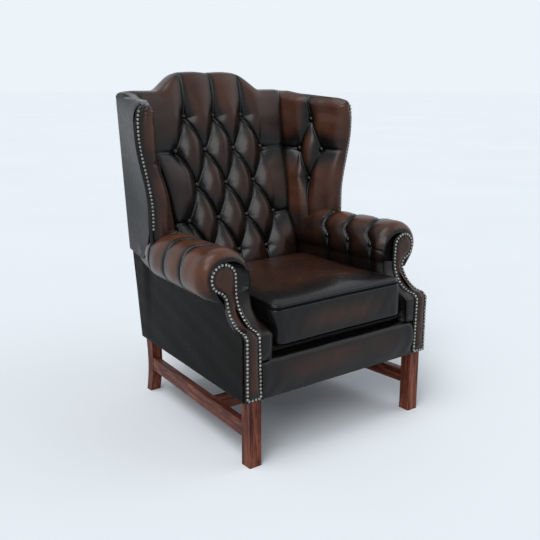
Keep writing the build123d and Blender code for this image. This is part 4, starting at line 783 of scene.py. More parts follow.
def wing_tufting(share, z, length):
    """Height of the buttoned leather of a wing above its line, and its proud value with painted shade.
    """
    s = (share - button_share) / button_step
    r = (z - low_button) / wing_pitch
    s_in = np.clip(s, -1, 1)
    r_in = np.clip(r, 0, 2)
    p = (s_in + r_in) / 2
    q = (s_in - r_in) / 2
    height = fold_height(p, q, wing_lift, wing_swell)
    outside = np.hypot((s - s_in) * button_step * length, (r - r_in) * wing_pitch)
    whole = wing_lift + wing_swell
    # below the lowest button the pleat opens out, elsewhere it runs on to the edge
    opened_low = 0.9 * (1 - np.exp(-outside / 0.05))
    opened_high = 0.5 * (1 - np.exp(-outside / 0.035))
    opened = np.where(r < 0, opened_low, opened_high)
    height = height + (whole - height) * opened
    steep = 9.6
    p_gap = np.abs(p - np.round(p)) / steep
    q_gap = np.abs(q - np.round(q)) / steep
    crisp = np.where(r < -0.2, np.exp((r + 0.2) * 2), 1)
    height = height - crisp * (0.0030 * bell(p_gap / 0.003) + 0.0030 * bell(q_gap / 0.003))
    height = height * (1 + 0.06 * ripple(11, share * 3, z * 13))
    # the leather is dark where it lies low: painted shade in the folds
    proud = smooth(0.40, 0.95, height / whole)
    p_step, q_step = p - np.round(p), q - np.round(q)
    to_button = np.hypot(button_step * length * (p_step + q_step), wing_pitch * (p_step - q_step))
    to_button = np.hypot(to_button, outside)
    # each button pulls a hollow, painted dark as shade
    height = height - 0.0045 * bell(to_button / 0.015) * (r > -0.3)
    proud = proud * (1 - bell(to_button / 0.030) * (r > -0.3))
    # the front puff is flatter, and flattest near the top corner
    ahead = smooth(0.55, 1.0, share)
    height = height * (1 - 0.40 * ahead) * (1 - 0.65 * ahead * smooth(0.925, 1.010, z))
    # painted shade along the crisp pleat lines
    proud = proud * (1 - crisp * (1 - smooth(0, 0.022, np.minimum(p_gap, q_gap))))
    return height, proud


# %% Lay the sections of a wing
body_rows, cap_rows = 170, 16
share_count, roll_count = 110, 26
# each row is a fraction of the way up to the ridge, and an angle round the ridge
wing_rows = [(level, 0.0) for level in np.linspace(0, 1, body_rows, endpoint=False)]
wing_rows += [(1.0, angle) for angle in np.linspace(0, radians(86), cap_rows)]


def wing_chord(z):
    """Ends of the buttoned part of a wing: the crease at the back, and the front roll."""
    crease = np.array([half_back(z) + 0.0003, inside_back(z) + 0.025])
    roll_end = np.array([wing_nail_x(z) - 0.046, wing_front + 0.004])
    return crease, roll_end


def wing_plan(z):
    """One level section of a wing: its points, and length and shares of the buttoned part."""
    crease, roll_end = wing_chord(z)
    length = np.hypot(*(roll_end - crease))
    shares = np.linspace(0, 1, share_count)
    chord = crease + (roll_end - crease) * shares[:, None]
    roll = arc_points(
        (roll_end[0], roll_end[1]),
        (wing_nail_x(z) - 0.026, wing_front - 0.0135),
        (wing_nail_x(z) - 0.0052, wing_front),
        roll_count,
    )[1:]
    nails = wing_nail_x(z)
    edge = nails + edge_margin
    # past the nails the outside leather bulges a little and rolls round the edge
    rim = [(nails - 0.002, wing_front + 0.0006), (nails + 0.002, wing_front + 0.0006)]
    rim += arc_points(
        (nails + 0.0035, wing_front + 0.0004),
        (edge - 0.0022, wing_front + 0.0040),
        (edge, wing_front + 0.0098),
        10,
    )
    # near the top the leather goes on back over the end of the crest rail
    rim_end = wing_front + 0.0112
    outside_end = outside_back(z) - 0.03 + 0.027 * smooth(0.90, 1.0, z)
    outside_y = np.linspace(rim_end, outside_end, 26)
    inset = 0.0032 * smooth(rim_end, wing_front + 0.016, outside_y)
    outside = np.stack([wing_outer(outside_y, z) - inset, outside_y], axis=1)
    rear = np.linspace(outside[-1], (crease[0], outside_y[-1]), 6)[1:]
    close = np.linspace(rear[-1], crease, 8)[1:]
    loop = np.concatenate([chord, roll, rim, outside, rear, close])
    return loop, length, shares


rows, relief_rows, proud_rows, caps = [], [], [], []
for level, cap in wing_rows:
    z_mean = wing_seat + level * (mean_top - ridge - wing_seat)
    loop, length, shares = wing_plan(z_mean)
    top = wing_top(loop[:, 1]) - ridge
    z = wing_seat + level * (top - wing_seat) + ridge * sin(cap)
    count = len(loop)
    height = np.zeros(count)
    proud = np.zeros(count)
    tufted, tone = wing_tufting(shares, z[:share_count], length)
    start = np.clip(shares * length / 0.030, 0, 1)
    rounding = np.sqrt(1 - (1 - start) ** 2)
    height[:share_count] = tufted * rounding
    # painted shade in the crease where the wing meets the back
    proud[:share_count] = tone * smooth(0.0, 0.045, shares * length)
    roll = slice(share_count, share_count + roll_count - 1)
    ease_out = np.cos(np.linspace(0, pi / 2, roll_count)[1:])
    height[roll] = height[share_count - 1] * ease_out**1.6
    proud[roll] = np.maximum(proud[share_count - 1], 0.55) * smooth(0, 0.75, ease_out)
    fade = cos(cap) ** 0.7
    rows.append((loop, z))
    relief_rows.append(height * fade)
    # painted shade low on the wing, where it meets the top of the arm; less brown over the ridge
    proud_rows.append(0.62 * proud * (0.5 + 0.5 * fade) * smooth(wing_seat, 0.66, z))
    caps.append(cap)

wing_base = np.stack([np.column_stack([loop, z]) for loop, z in rows])
wing_relief = np.stack(relief_rows)
wing_proud = np.stack(proud_rows) * 1.15
wing_skin = wing_base + surface_normals(wing_base) * wing_relief[:, :, None]
# the tufting runs into the front roll in one soft curve
wing_skin = relax(relax(wing_skin, share_count, 16, 1, 90), body_rows, 12, 0, 60)
cap_grid = np.array(caps)[:, None]
# gathers where the leather is pulled round the front corner of the top
x, y, z = (wing_skin[:, :, axis].copy() for axis in range(3))
corner_y, corner_z = wing_front + 0.035, 0.985
around = np.arctan2(z - corner_z, corner_y - y)
near = bell((np.hypot(y - corner_y, z - corner_z) - 0.045) / 0.022)
near = near * smooth(-0.2, 0.3, around) * smooth(1.9, 1.3, around) * (x > 0.36)
x = x + 0.0014 * near * np.sin(around * 26)
x, y = round_over(x, y, z, cap_grid)
wing_skin = np.stack([x, y, z], axis=2)
for name, side in sides:
    piece = lay_grid("inside_wing_leather_" + name, wing_skin * (side, 1, 1), wing_proud)
    node = "inside_wing_pad_" + name
    cover_node(piece, tufted_leather, "chair", node)

# %% [markdown]
# ## Outside leather
# The outsides of the wings, the arms and the back are plain leather stretched over canvas. It
# sags a few millimetres between the timbers and bends in over the ridge of the wing. Each
# panel is a thin sheet laid on the frame and given a thickness with Solidify.

# %% Outside wings
sheet_thickness = 0.0025


def thicken(piece, thickness, offset=-1):
    """Gives a sheet its thickness."""
    pick(piece)
    solid = piece.modifiers.new("thickness", "SOLIDIFY")
    solid.thickness = thickness
    solid.offset = offset
    solid.use_even_offset = True
    bpy.ops.object.modifier_apply(modifier="thickness")


def add_panel(name, node, grid, worn):
    """A panel of the outside: a sheet along a grid of points, in the dark leather."""
    piece = lay_grid(name, grid, worn, closed=False)
    thicken(piece, sheet_thickness)
    cover_node(piece, panel_leather, "chair", node)


def add_side_panels(label, points, worn):
    """The right and left panel of a pair. Their faces have to point outwards on both sides."""
    for name, side in sides:
        grid = points * (side, 1, 1)
        if side > 0:
            grid = grid[:, ::-1]
        add_panel(f"outside_{label}_leather_{name}", f"outside_{label}_panel_{name}", grid, worn)


panel_foot, panel_front_foot = 0.520, 0.628
sweep_foot = place(0.566)
steps_up, steps_back = 90, 60
panel_rows = [(level, 0.0) for level in np.linspace(0, 1, steps_up)]
panel_rows += [(1.0, angle) for angle in np.linspace(0.15, 1.05, 8)]
t = np.linspace(0, 1, steps_back)
y_front = wing_front + 0.010
outside_rows = []
for level, cap in panel_rows:
    y = y_front + (outside_back(panel_foot + level * 0.5) - 0.001 - y_front) * t
    # the foot of the panel sweeps down from the nail row to the back of the arm
    sweep = np.clip((sweep_foot - y) / (sweep_foot - y_front), 0, 1)
    foot = panel_foot + (panel_front_foot - panel_foot) * sweep**2.1
    top = wing_top(y) - ridge
    z = foot + level * (top - foot) + ridge * sin(cap)
    x = wing_outer(y, z)
    sag = 0.0035 * np.sin(pi * t) * sin(pi * level) if cap == 0 else 0
    x, y = round_over(x - sag, y, z, cap)
    outside_rows.append(np.column_stack([x, y, z]))
outside_wing = np.stack(outside_rows)
worn = 0.5 * smooth(0.80, 0.55, outside_wing[:, :, 2])
add_side_panels("wing", outside_wing, worn)

# %% [markdown]
# ## Arms
# Each arm is a roll on top of an upright inside face. Three pleats start at buttons on the
# inside and slant back as they go over the roll. At the front the leather is gathered round
# the scroll of the facing, which shows as fine wrinkles pointing at the nails.

# %% Shape of an arm
scroll_x = 0.363
scroll_z = 0.546
scroll_radius = 0.046
ledge = 0.408
sweep_radius = 0.094
sweep_y = place(0.008)
roll_out = 0.036
roll_up = 0.035
first_pleat = 0.172
pleat_gap = 0.105
arm_front = place(0.110)
arm_rear = place(0.600)
arm_length = arm_rear - arm_front
tail_start = place(0.4345)
arm_foot = 0.345
roll_start = 0.500
roll_foot = 0.477
# points over the inside face, up to the top of the roll, down its outside and in under it
side_count, climb_count, fall_count, lip_count = 34, 46, 40, 34
skin_count = side_count + climb_count + fall_count + lip_count
button_column = side_count + 14


def frame_side(y):
    """Outside of the seat frame."""
    return 0.360 - (y - front_plane) * 0.0745


def facing_y(z):
    """Depth of the front leather of the arm at a height."""
    drop = np.clip(ledge + sweep_radius - z, 0, sweep_radius)
    swept = sweep_y + np.sqrt(sweep_radius**2 - drop**2)
    nose = place(-0.006) + 0.014 * np.clip((z - (ledge - 0.012)) / 0.012, 0, 1)
    return np.where(z > ledge, swept, nose)


def arm_profile(y, fullness, inside):
    """Outline of the inside arm and its roll in X and Z, from the seat over to the underside."""
    roll_x = frame_side(y) + 0.003
    out = scroll_radius + roll_out * fullness
    up = scroll_radius + roll_up * fullness
    reach = roll_x - inside
    lip = 0.030 * (1 + fullness) / 2
    top = (roll_x, scroll_z + up)
    outer = (roll_x + out, scroll_z)
    shoulder = (roll_x - reach * 0.7071, scroll_z + up * 0.72)
    over_top = (roll_x + out * 0.7071, scroll_z + up * 0.7071)
    below = (roll_x + out * 0.82, scroll_z - out * 0.58)
    points = arc_points((inside, arm_foot), (inside - 0.003, 0.4225), (inside, roll_start), side_count)
    points += arc_points((inside, roll_start), shoulder, top, climb_count)
    points += arc_points(top, over_top, outer, fall_count)
    points += arc_points(outer, below, (roll_x + lip, roll_foot), lip_count)
    web = frame_side(y) - 0.030
    points += list(zip(np.linspace(roll_x + lip, web, 8), np.full(8, roll_foot)))
    points += list(zip(np.full(8, web), np.linspace(roll_foot, arm_foot, 9)[1:]))
    points += list(zip(np.linspace(web, inside, 7)[1:], np.full(6, arm_foot)))
    return np.array(points)


def fullness_at(step):
    """How full the roll of an arm is, from nothing at the facing to 1."""
    t = np.clip((step - 0.0005) / 0.042, 0, 1)
    return np.sqrt(1 - (1 - t) ** 2)


arm_y = np.concatenate([
    np.linspace(0, 0.012, 12, endpoint=False),
    np.linspace(0.012, 0.06, 30, endpoint=False),
    np.linspace(0.06, arm_length, 220),
])
profile_rows = []
for step in arm_y:
    y = arm_front + step
    tail = smooth(0.020, 0.120, y - tail_start)
    fullness = fullness_at(step) * (1 - 0.85 * tail)
    inside = 0.263 + 0.012 * (1 - smooth(0, 0.03, step)) - 0.0067 * smooth(0.0, 0.11, y - tail_start)
    profile = arm_profile(y, fullness, inside)
    profile_rows.append(np.column_stack([profile[:, 0], np.full(len(profile), y), profile[:, 1]]))
arm_base = np.stack(profile_rows)

# %% Pleats and gathers of the arm
along = arm_base[:, :, 1] - front_plane
steps = np.linalg.norm(np.diff(arm_base, axis=1), axis=2)
walked = np.concatenate([np.zeros((len(arm_base), 1)), np.cumsum(steps, axis=1)], axis=1)
# distance over the roll from the buttons' line, which lies a little above the turn
over = walked - walked[:, button_column - 1][:, None]
shift = 0.030 * smooth(0.0, 0.05, over) + 0.045 * smooth(0.11, 0.18, over) + 0.10 * np.minimum(over, 0)
phase = (along - first_pleat - shift) / pleat_gap
held = np.clip(phase, -0.5, 2.5)
low_fade = smooth(-0.16, -0.02, over)
lean = held - 0.05 * np.sin(pi * held) ** 2
swell = np.abs(np.sin(pi * lean)) ** 0.7
# deep beside the buttons, shallow where the pleat goes over the top
depth = (0.0035 + 0.0125 * bell((over - 0.005) / 0.042)) * low_fade
arm_height = -depth * (1 - swell) + 0.0015 * low_fade * swell
signed_gap = (held - np.round(held)) * pleat_gap
gap = np.abs(signed_gap)
inside_pleats = (phase > -0.5) & (phase < 2.5)
crisp = 0.0042 * smooth(-0.055, -0.01, over)
arm_height = arm_height - np.where(inside_pleats, crisp * bell(gap / 0.0024), 0)
# a second, wavy fold lies behind each pleat where it turns over the top
fold_gap = signed_gap - 0.009 - 0.003 * np.sin(over * 150)
second = bell(fold_gap / 0.0035) - 0.8 * bell((fold_gap - 0.006) / 0.003)
second = second * bell((over - 0.095) / 0.028) * inside_pleats
arm_height = arm_height + 0.0038 * second
# a crease runs from the front button to the facing
ahead = np.clip(first_pleat - along, 0, 0.07)
crease = bell((over + 0.008) / 0.0030) * (ahead > 0) * smooth(0.07, 0.055, ahead)
arm_height = arm_height - 0.0030 * crease
# a few gathers under the scroll and fine wrinkles round the rest of it
theta = np.arctan2(arm_base[:, :, 2] - scroll_z, arm_base[:, :, 0] - scroll_x)
start = arm_y[:, None]
under_scroll = bell((theta + 0.75) / 0.45)
wrinkles = np.sin(24 * theta + 1.5 * ripple(21, theta * 3)) * (0.0004 + 0.0016 * under_scroll)
from_nails = start + 0.034 * fullness_at(start) * smooth(-0.06, 0.0, over)
wrinkles = wrinkles * bell((from_nails - 0.016) / 0.014) * smooth(-0.06, 0.03, over)
arm_height = arm_height + wrinkles
arm_height = arm_height + 0.0009 * ripple(23, along * 22, over * 20)
is_skin = np.arange(arm_base.shape[1])[None, :] < skin_count
to_lip = walked[:, skin_count - 1][:, None] - walked
arm_height = np.where(is_skin, arm_height * smooth(0, 0.016, from_nails) * smooth(0, 0.085, to_lip), 0)
# painted shade beside each pleat, wider on its front side
pleat_shade = np.where(signed_gap < 0, smooth(0.003, 0.042, gap), smooth(0.001, 0.026, gap))
arm_proud = np.where(inside_pleats, pleat_shade, 1.0) * smooth(0.008, 0.024, from_nails)
# painted shade under the roll toward its lip, and in the crease from the front button
arm_proud = arm_proud * smooth(0.0, 0.075, to_lip) * (1 - 0.8 * crease)
# painted shade where the back of the roll runs in under the outside of the wing
arm_proud = arm_proud * (1 - 0.85 * smooth(0.47, 0.575, along) * smooth(0.08, 0.14, over))
# painted shade in the hollows round the buttons and over the inside face, which is darker than the lit
# top of the roll and darkest below the buttons, down by the cushion
hollow = bell(np.hypot(gap, over) / 0.022) * inside_pleats
arm_proud = arm_proud * (1 - hollow) * (0.34 + 0.66 * smooth(0.03, 0.10, over))
arm_proud = arm_proud * (0.40 + 0.60 * smooth(-0.045, 0.005, over))
arm_proud = arm_proud * np.clip(0.86 + 0.30 * ripple(31, along * 13, over * 11), 0.3, 1.05)
arm_proud = np.where(is_skin, arm_proud, 0)
arm_skin = arm_base + surface_normals(arm_base) * arm_height[:, :, None]

# every row starts just behind the facing, which stands further forward low down
behind_facing = facing_y(arm_skin[:, :, 2]) + 0.0022
run = start / arm_length
arm_skin[:, :, 1] = arm_skin[:, :, 1] + (behind_facing - arm_front) * (1 - run)
low_front = smooth(place(0.043), place(0.036), arm_skin[:, :, 1]) * (arm_skin[:, :, 2] < 0.3452)
arm_skin[:, :, 2] = arm_skin[:, :, 2] - 0.022 * low_front
# the front end closes behind the facing: across to its edge first, then in and together
ends, end_proud = [], []
first = arm_skin[0]
column = first[:, 2] < 0.503
edge_x = 0.3085 + 0.0085 * np.clip((first[:, 2] - seat_bottom) / 0.339, 0, 1)
for share in (1.0, 0.75, 0.5, 0.25):
    row = first.copy()
    toward_edge = first[:, 0] + (edge_x - first[:, 0]) * share
    row[:, 0] = np.where(column, np.maximum(first[:, 0], toward_edge), first[:, 0])
    row[:, 1] = first[:, 1] - 0.0008 * sin(pi * share)
    ends.append(row)
    strip_tone = 0.30 * smooth(0.35, 0.42, first[:, 2]) * smooth(0.505, 0.455, first[:, 2])
    end_proud.append(arm_proud[0] + strip_tone * column * (1 - share))
hidden = ends[0].copy()
hidden[:, 1] = facing_y(hidden[:, 2]) + 0.0090
gathered = hidden.copy()
gathered[:, 0] = np.where(column, 0.333, scroll_x + (hidden[:, 0] - scroll_x) * 0.4)
gathered[:, 2] = np.where(column, hidden[:, 2], scroll_z + (hidden[:, 2] - scroll_z) * 0.4)
gathered[:, 1] = hidden[:, 1] + 0.004
arm_skin = np.concatenate([np.stack([gathered, hidden] + ends), arm_skin], axis=0)
arm_proud = np.concatenate([np.zeros((2, len(first))), np.stack(end_proud), arm_proud], axis=0)
for name, side in sides:
    piece = lay_grid("arm_leather_" + name, arm_skin * (side, 1, 1), arm_proud)
    node = "inside_arm_pad_" + name
    cover_node(piece, tufted_leather, "chair", node)

# %% [markdown]
# ## Buttons
# A button is a small wooden mould under leather: a low dome, a little uneven where the leather
# is gathered beneath it. Each one is shaped from a sphere, so that its gathers differ from its
# neighbour's, and tilted to the surface it is pulled into.

# %% Shape the buttons in their places
button_radius = 0.0085
button_dome = 0.0052


def add_buttons(name, node, spots):
    """One piece made of a domed button at each (centre, outward normal)."""
    parts = []
    for turn, (centre, normal) in enumerate(spots):
        deselect_all()
        bpy.ops.mesh.primitive_uv_sphere_add(segments=28, ring_count=14, radius=1)
        part = bpy.context.object
        spin = Matrix.Rotation(turn * 1.3, 4, "Z")
        for vertex in part.data.vertices:
            around = np.arctan2(vertex.co.y, vertex.co.x)
            rim = 1 - abs(vertex.co.z)
            low = 0.35 if vertex.co.z < 0 else 1
            wave = 1 + 0.035 * sin(7 * around + turn) * rim
            vertex.co = Vector((
                vertex.co.x * button_radius * wave, vertex.co.y * button_radius * wave,
                vertex.co.z * button_dome * low,
            ))
        turned = Vector(normal).to_track_quat("Z", "Y").to_matrix().to_4x4()
        part.data.transform(Matrix.Translation(centre) @ turned @ spin)
        parts.append(part)
    cover_node(join_parts(parts, name), button_leather, "chair", node)
    print(name, len(spots), "buttons")


lean_angle = atan(back_lean)
back_normal = (0, -cos(lean_angle), sin(lean_angle))
back_spots = []
for row in range(row_count):
    across = (-0.12, 0, 0.12) if row % 2 == 0 else (-0.18, -0.06, 0.06, 0.18)
    z = first_row + row_gap * row
    for x in across:
        back_spots.append(((x, inside_back(z) - 0.0015, z), back_normal))
add_buttons("back_leather_buttons", "back_buttons", back_spots)

wing_spots = []
diamond = ((button_share, 0), (0.36, 1), (0.74, 1), (button_share, 2))
for share, level in diamond:
    z = low_button + wing_pitch * level
    start, end = wing_chord(z)
    run = end - start
    normal = np.array([run[1], -run[0]]) / np.hypot(*run)
    centre = start + run * share + normal * 0.0015
    wing_spots.append(((*centre, z), (*normal, 0)))
arm_spots = []
for turn in range(3):
    y = place(first_pleat + pleat_gap * turn)
    row = int(np.argmin(np.abs(arm_base[:, 0, 1] - y)))
    spot = arm_base[row, button_column]
    ahead = arm_base[row, button_column + 1] - arm_base[row, button_column - 1]
    normal = np.array([-ahead[2], 0, ahead[0]]) / np.hypot(ahead[0], ahead[2])
    centre = spot + normal * -0.0075
    y = y - 0.0058 * (1 - (y - arm_front) / arm_length)
    arm_spots.append(((centre[0], y, centre[2]), tuple(normal)))
for name, side in sides:
    flip = Vector((side, 1, 1))
    for label, spots in (("wing", wing_spots), ("arm", arm_spots)):
        mirrored = [(Vector(c) * flip, Vector(n) * flip) for c, n in spots]
        add_buttons(f"{label}_leather_buttons_{name}", f"{label}_buttons_{name}", mirrored)

# %% [markdown]
# ## Arm facings
# A facing is a shaped board with a thin pad under the leather, set into the front of the arm
# and edged all round with nails. Its outline runs up the column, over a ledge, sweeps back and
# ends in the scroll. The leather is dark along the nails and brown down the middle.

# %% Facing outline
column_in, column_out = 0.309, 0.367
neck_x, neck_z = 0.361, 0.478
scroll_exit = radians(68)
facing_thickness = 0.0075


def facing_edges(z):
    """Left and right edge of the facing at each height."""
    rise = np.clip(z - scroll_z, 0, scroll_radius)
    bow = np.sqrt(np.maximum(scroll_radius**2 - rise**2, 0))
    climb = np.clip((z - seat_bottom) / (scroll_z - seat_bottom), 0, 1)
    low_left = column_in + (scroll_x - scroll_radius - column_in) * climb
    left = np.where(z > scroll_z, scroll_x - bow, low_left)
    under_z = scroll_z - scroll_radius * sin(scroll_exit)
    under_x = scroll_x + scroll_radius * cos(scroll_exit)
    dip = np.clip(scroll_z - z, 0, scroll_radius * sin(scroll_exit))
    round_right = scroll_x + np.sqrt(np.maximum(scroll_radius**2 - dip**2, 0))
    neck = np.clip((under_z - z) / (under_z - neck_z), 0, 1)
    hollow = under_x + (neck_x - under_x) * np.sin(neck * pi / 2)
    column = neck_x + (column_out - neck_x) * np.clip((neck_z - z) / (neck_z - ledge), 0, 1)
    right = np.where(z > scroll_z, scroll_x + bow, round_right)
    right = np.where(z < under_z, hollow, right)
    right = np.where(z < neck_z, column, right)
    return left, right


facing_low = np.linspace(seat_bottom, scroll_z, 190, endpoint=False)
facing_top = scroll_z + scroll_radius * np.sin(np.linspace(0, pi / 2, 46)[:-1])
facing_z = np.concatenate([facing_low, facing_top, [scroll_z + scroll_radius * 0.9995]])
left_edge, right_edge = facing_edges(facing_z)
share = (1 - np.cos(np.linspace(0, pi, 44))) / 2
facing_x = left_edge[:, None] + (right_edge - left_edge)[:, None] * share
facing_zz = np.broadcast_to(facing_z[:, None], facing_x.shape)
rim = np.concatenate([
    np.column_stack([left_edge, facing_z]), np.column_stack([right_edge, facing_z]),
    np.column_stack([np.linspace(column_in, column_out, 40), np.full(40, seat_bottom)]),
])
flat = np.stack([facing_x.ravel(), facing_zz.ravel()], axis=1)
to_rim = flat[:, None, :] - rim[None, :, :]
rim_gap = np.min(np.hypot(to_rim[:, :, 0], to_rim[:, :, 1]), axis=1).reshape(facing_x.shape)
crown = 0.0035 * smooth(0.009, 0.026, rim_gap) - 0.0012 * bell((rim_gap - 0.010) / 0.002)
crown = crown - 0.0022 * (1 - smooth(0.0, 0.003, rim_gap))
crown = crown + 0.0005 * ripple(31, facing_x * 60, facing_zz * 30)
facing_depth = facing_y(facing_zz)
facing_grid = np.stack([facing_x, facing_depth, facing_zz], axis=2)
facing_skin = facing_grid + surface_normals(facing_grid) * crown[:, :, None]
facing_proud = 0.55 * smooth(0.009, 0.022, rim_gap) * smooth(0.0, 0.05, facing_zz - seat_bottom)
facing_proud = facing_proud * (1 - 0.7 * bell((facing_zz - ledge) / 0.008))
for name, side in sides:
    piece = lay_grid("facing_leather_" + name, facing_skin * (side, 1, 1), facing_proud, closed=False)
    pick(piece)
    bpy.ops.object.mode_set(mode="EDIT")
    bpy.ops.mesh.select_all(action="SELECT")
    bpy.ops.mesh.normals_make_consistent(inside=False)
    bpy.ops.object.mode_set(mode="OBJECT")
    outward = sum(face.normal.y for face in piece.data.polygons)
    thicken(piece, facing_thickness, offset=-1 if outward < 0 else 1)
    node = "arm_facing_" + name
    cover_node(piece, tufted_leather, "chair", node)

# %% [markdown]
# ## Front border
# Below the cushion a padded border covers the front rail and rolls over its top edge. It is
# stretched tight, so it has only a shallow belly and soft ripples near its ends.

# %% Build the front border
border_half = 0.3087
border_front = place(-0.005)
border_top = 0.300
border_roll = 0.022
border_belly = 0.0045
border_height = 0.115
border_x = np.linspace(-border_half, border_half, 150)
up = np.linspace(0, 1, 60)
face_z = seat_bottom + (border_top - seat_bottom) * up
face_y = border_front - border_belly * np.sin(pi * np.clip(up * 0.9, 0, 1))
over = radians(90) * np.linspace(0, 1, 26)[1:]
round_y = border_front + border_roll * (1 - np.cos(over)) - border_belly * np.cos(over) * 0.3
round_z = border_top + border_roll * np.sin(over)
back_run = np.linspace(place(0.018), place(0.043), 10)
behind_y = [place(0.043), place(0.010), front_plane, border_front]
behind_z = [0.308, border_top, seat_bottom, seat_bottom]
section_y = np.concatenate([face_y, round_y, back_run, behind_y])
section_z = np.concatenate([face_z, round_z, np.full(10, border_top + border_roll), behind_z])
grid = np.zeros((len(section_y), len(border_x), 3))
grid[:, :, 0] = border_x[None, :]
grid[:, :, 1] = section_y[:, None]
grid[:, :, 2] = section_z[:, None]
end_gap = border_half - np.abs(border_x)[None, :]
on_face = np.arange(len(section_y))[:, None] < len(face_z) + len(round_z)
waves = np.sin(border_x[None, :] * 95 + 2 * np.sin(section_z[:, None] * 40))
ripples = 0.0014 * waves * np.exp(-end_gap / 0.05)
ripples = ripples + 0.0008 * ripple(41, grid[:, :, 0] * 16, grid[:, :, 2] * 22)
pinch = 0.004 * np.exp(-end_gap / 0.006)
fade = smooth(seat_bottom, 0.222, grid[:, :, 2]) * on_face
grid[:, :, 1] = grid[:, :, 1] - (ripples - pinch) * fade
level = (grid[:, :, 2] - seat_bottom) / border_height
# brown mid-height, darker toward the bottom and the ends, and darker at the top with painted shade under
# the cushion
proud = 0.50 * smooth(0.05, 0.50, level) * smooth(1.0, 0.66, level) * on_face
proud = proud * smooth(0.02, 0.16, end_gap)
proud = proud * (0.75 + 0.25 * ripple(43, border_x[None, :] * 8, level * 2))
closed_grid = np.concatenate([grid, grid[:1]], axis=0)
piece = lay_grid("front_border_leather", closed_grid, np.concatenate([proud, proud[:1]], axis=0))
cover_node(piece, tufted_leather, "chair", "front_border")

# %% [markdown]
# ## Seat cushion
# The loose cushion is a box of leather with piped seams, full of down over foam. Its top is
# crowned and turns down quickly just before the seam, its sides swell, its edges draw in
# between the corners, and the leather puckers at the corners where two seams meet.

# %% Cushion outline
cushion_half = 0.2495
cushion_near, cushion_far = place(0.009), place(0.489)
cushion_round = 0.026
cushion_pull = 0.006
cushion_low, cushion_high = 0.3455, 0.4655
cushion_height = cushion_high - cushion_low
middle_y = (cushion_near + cushion_far) / 2
half_length = (cushion_far - cushion_near) / 2


def cushion_outline(count):
    """Points round the cushion's seam in plan, anticlockwise, evenly spaced."""
    fine = []
    straight_x = cushion_half - cushion_round
    straight_y = half_length - cushion_round
    corners = ((1, 1, 0), (-1, 1, 90), (-1, -1, 180), (1, -1, 270))
    for sx, sy, turn in corners:
        for angle in np.radians(turn + np.linspace(0, 90, 60)):
            x = sx * straight_x + cushion_round * cos(angle)
            y = sy * straight_y + cushion_round * sin(angle)
            fine.append((x, y))
    fine = np.array(fine + fine[:1])
    lengths = np.concatenate([[0], np.cumsum(np.hypot(*np.diff(fine, axis=0).T))])
    spots = np.linspace(0, lengths[-1], count)
    ring = np.column_stack([np.interp(spots, lengths, fine[:, axis]) for axis in (0, 1)])
    across = np.abs(ring[:, 0]) / cushion_half
    along = np.abs(ring[:, 1]) / half_length
    pull_x = cushion_pull * (1 - along) * across**4
    pull_y = 0.5 * cushion_pull * (1 - across) * along**4
    ring[:, 0] -= np.sign(ring[:, 0]) * pull_x
    ring[:, 1] -= np.sign(ring[:, 1]) * pull_y
    return ring


seam = cushion_outline(420)
corner_gap = np.hypot(cushion_half - np.abs(seam[:, 0]), half_length - np.abs(seam[:, 1]))
turned = np.gradient(seam[:-1], axis=0)
turned = np.concatenate([turned, turned[:1]])
seam_normal = np.column_stack([turned[:, 1], -turned[:, 0]])
seam_normal = seam_normal / np.linalg.norm(seam_normal, axis=1, keepdims=True)

# %% Cushion surface, from the middle underneath to the middle on top
front_share = smooth(-0.5, -1.0, seam[:, 1] / half_length)
corner_reach = 0.007 * np.sign(seam[:, 0]) * front_share * (np.abs(seam[:, 0]) / cushion_half) ** 3


def lean_forward(plan, w):
    """The front stands forward low down, and its top corners reach out to the sides."""
    plan = plan.copy()
    plan[:, 0] += corner_reach * smooth(0.3, 1.0, w)
    plan[:, 1] -= 0.013 * front_share * (1 - w)
    return plan


under = np.sin(np.linspace(0, pi / 2, 26)) * 0.985
wall = np.linspace(0, 1, 60)
top = np.cos(np.linspace(0, pi / 2, 110))
ring_points, ring_proud = [], []
for f in under:
    ring_points.append(np.column_stack([lean_forward(seam * f, 0), np.full(len(seam), cushion_low)]))
    ring_proud.append(np.zeros(len(seam)))
for w in wall:
    swell = 0.0045 * sin(pi * w) ** 0.8 - 0.003 * (1 - sin(pi * w)) ** 6
    pucker = 0.0016 * np.sin(np.arange(len(seam)) * 0.9 + 5 * w) * np.exp(-corner_gap / 0.022)
    soft_wave = 0.0010 * ripple(51, seam[:, 0] * 24, seam[:, 1] * 24, w * 2.4)
    # the top leather rolls over the seam, which lies a little below its edge
    groove = 0.0030 * bell((w - 0.93) / 0.022) + 0.0020 * bell((w - 0.06) / 0.025)
    plan = seam + seam_normal * (swell - groove + (pucker + soft_wave) * sin(pi * w))[:, None]
    z = cushion_low + cushion_height * w
    ring_points.append(np.column_stack([lean_forward(plan, w), np.full(len(seam), z)]))
    tone = 0.42 * smooth(0.05, 0.45, w) * smooth(0.92, 0.50, w) * smooth(0.02, 0.20, corner_gap)
    ring_proud.append(tone * np.ones(len(seam)))
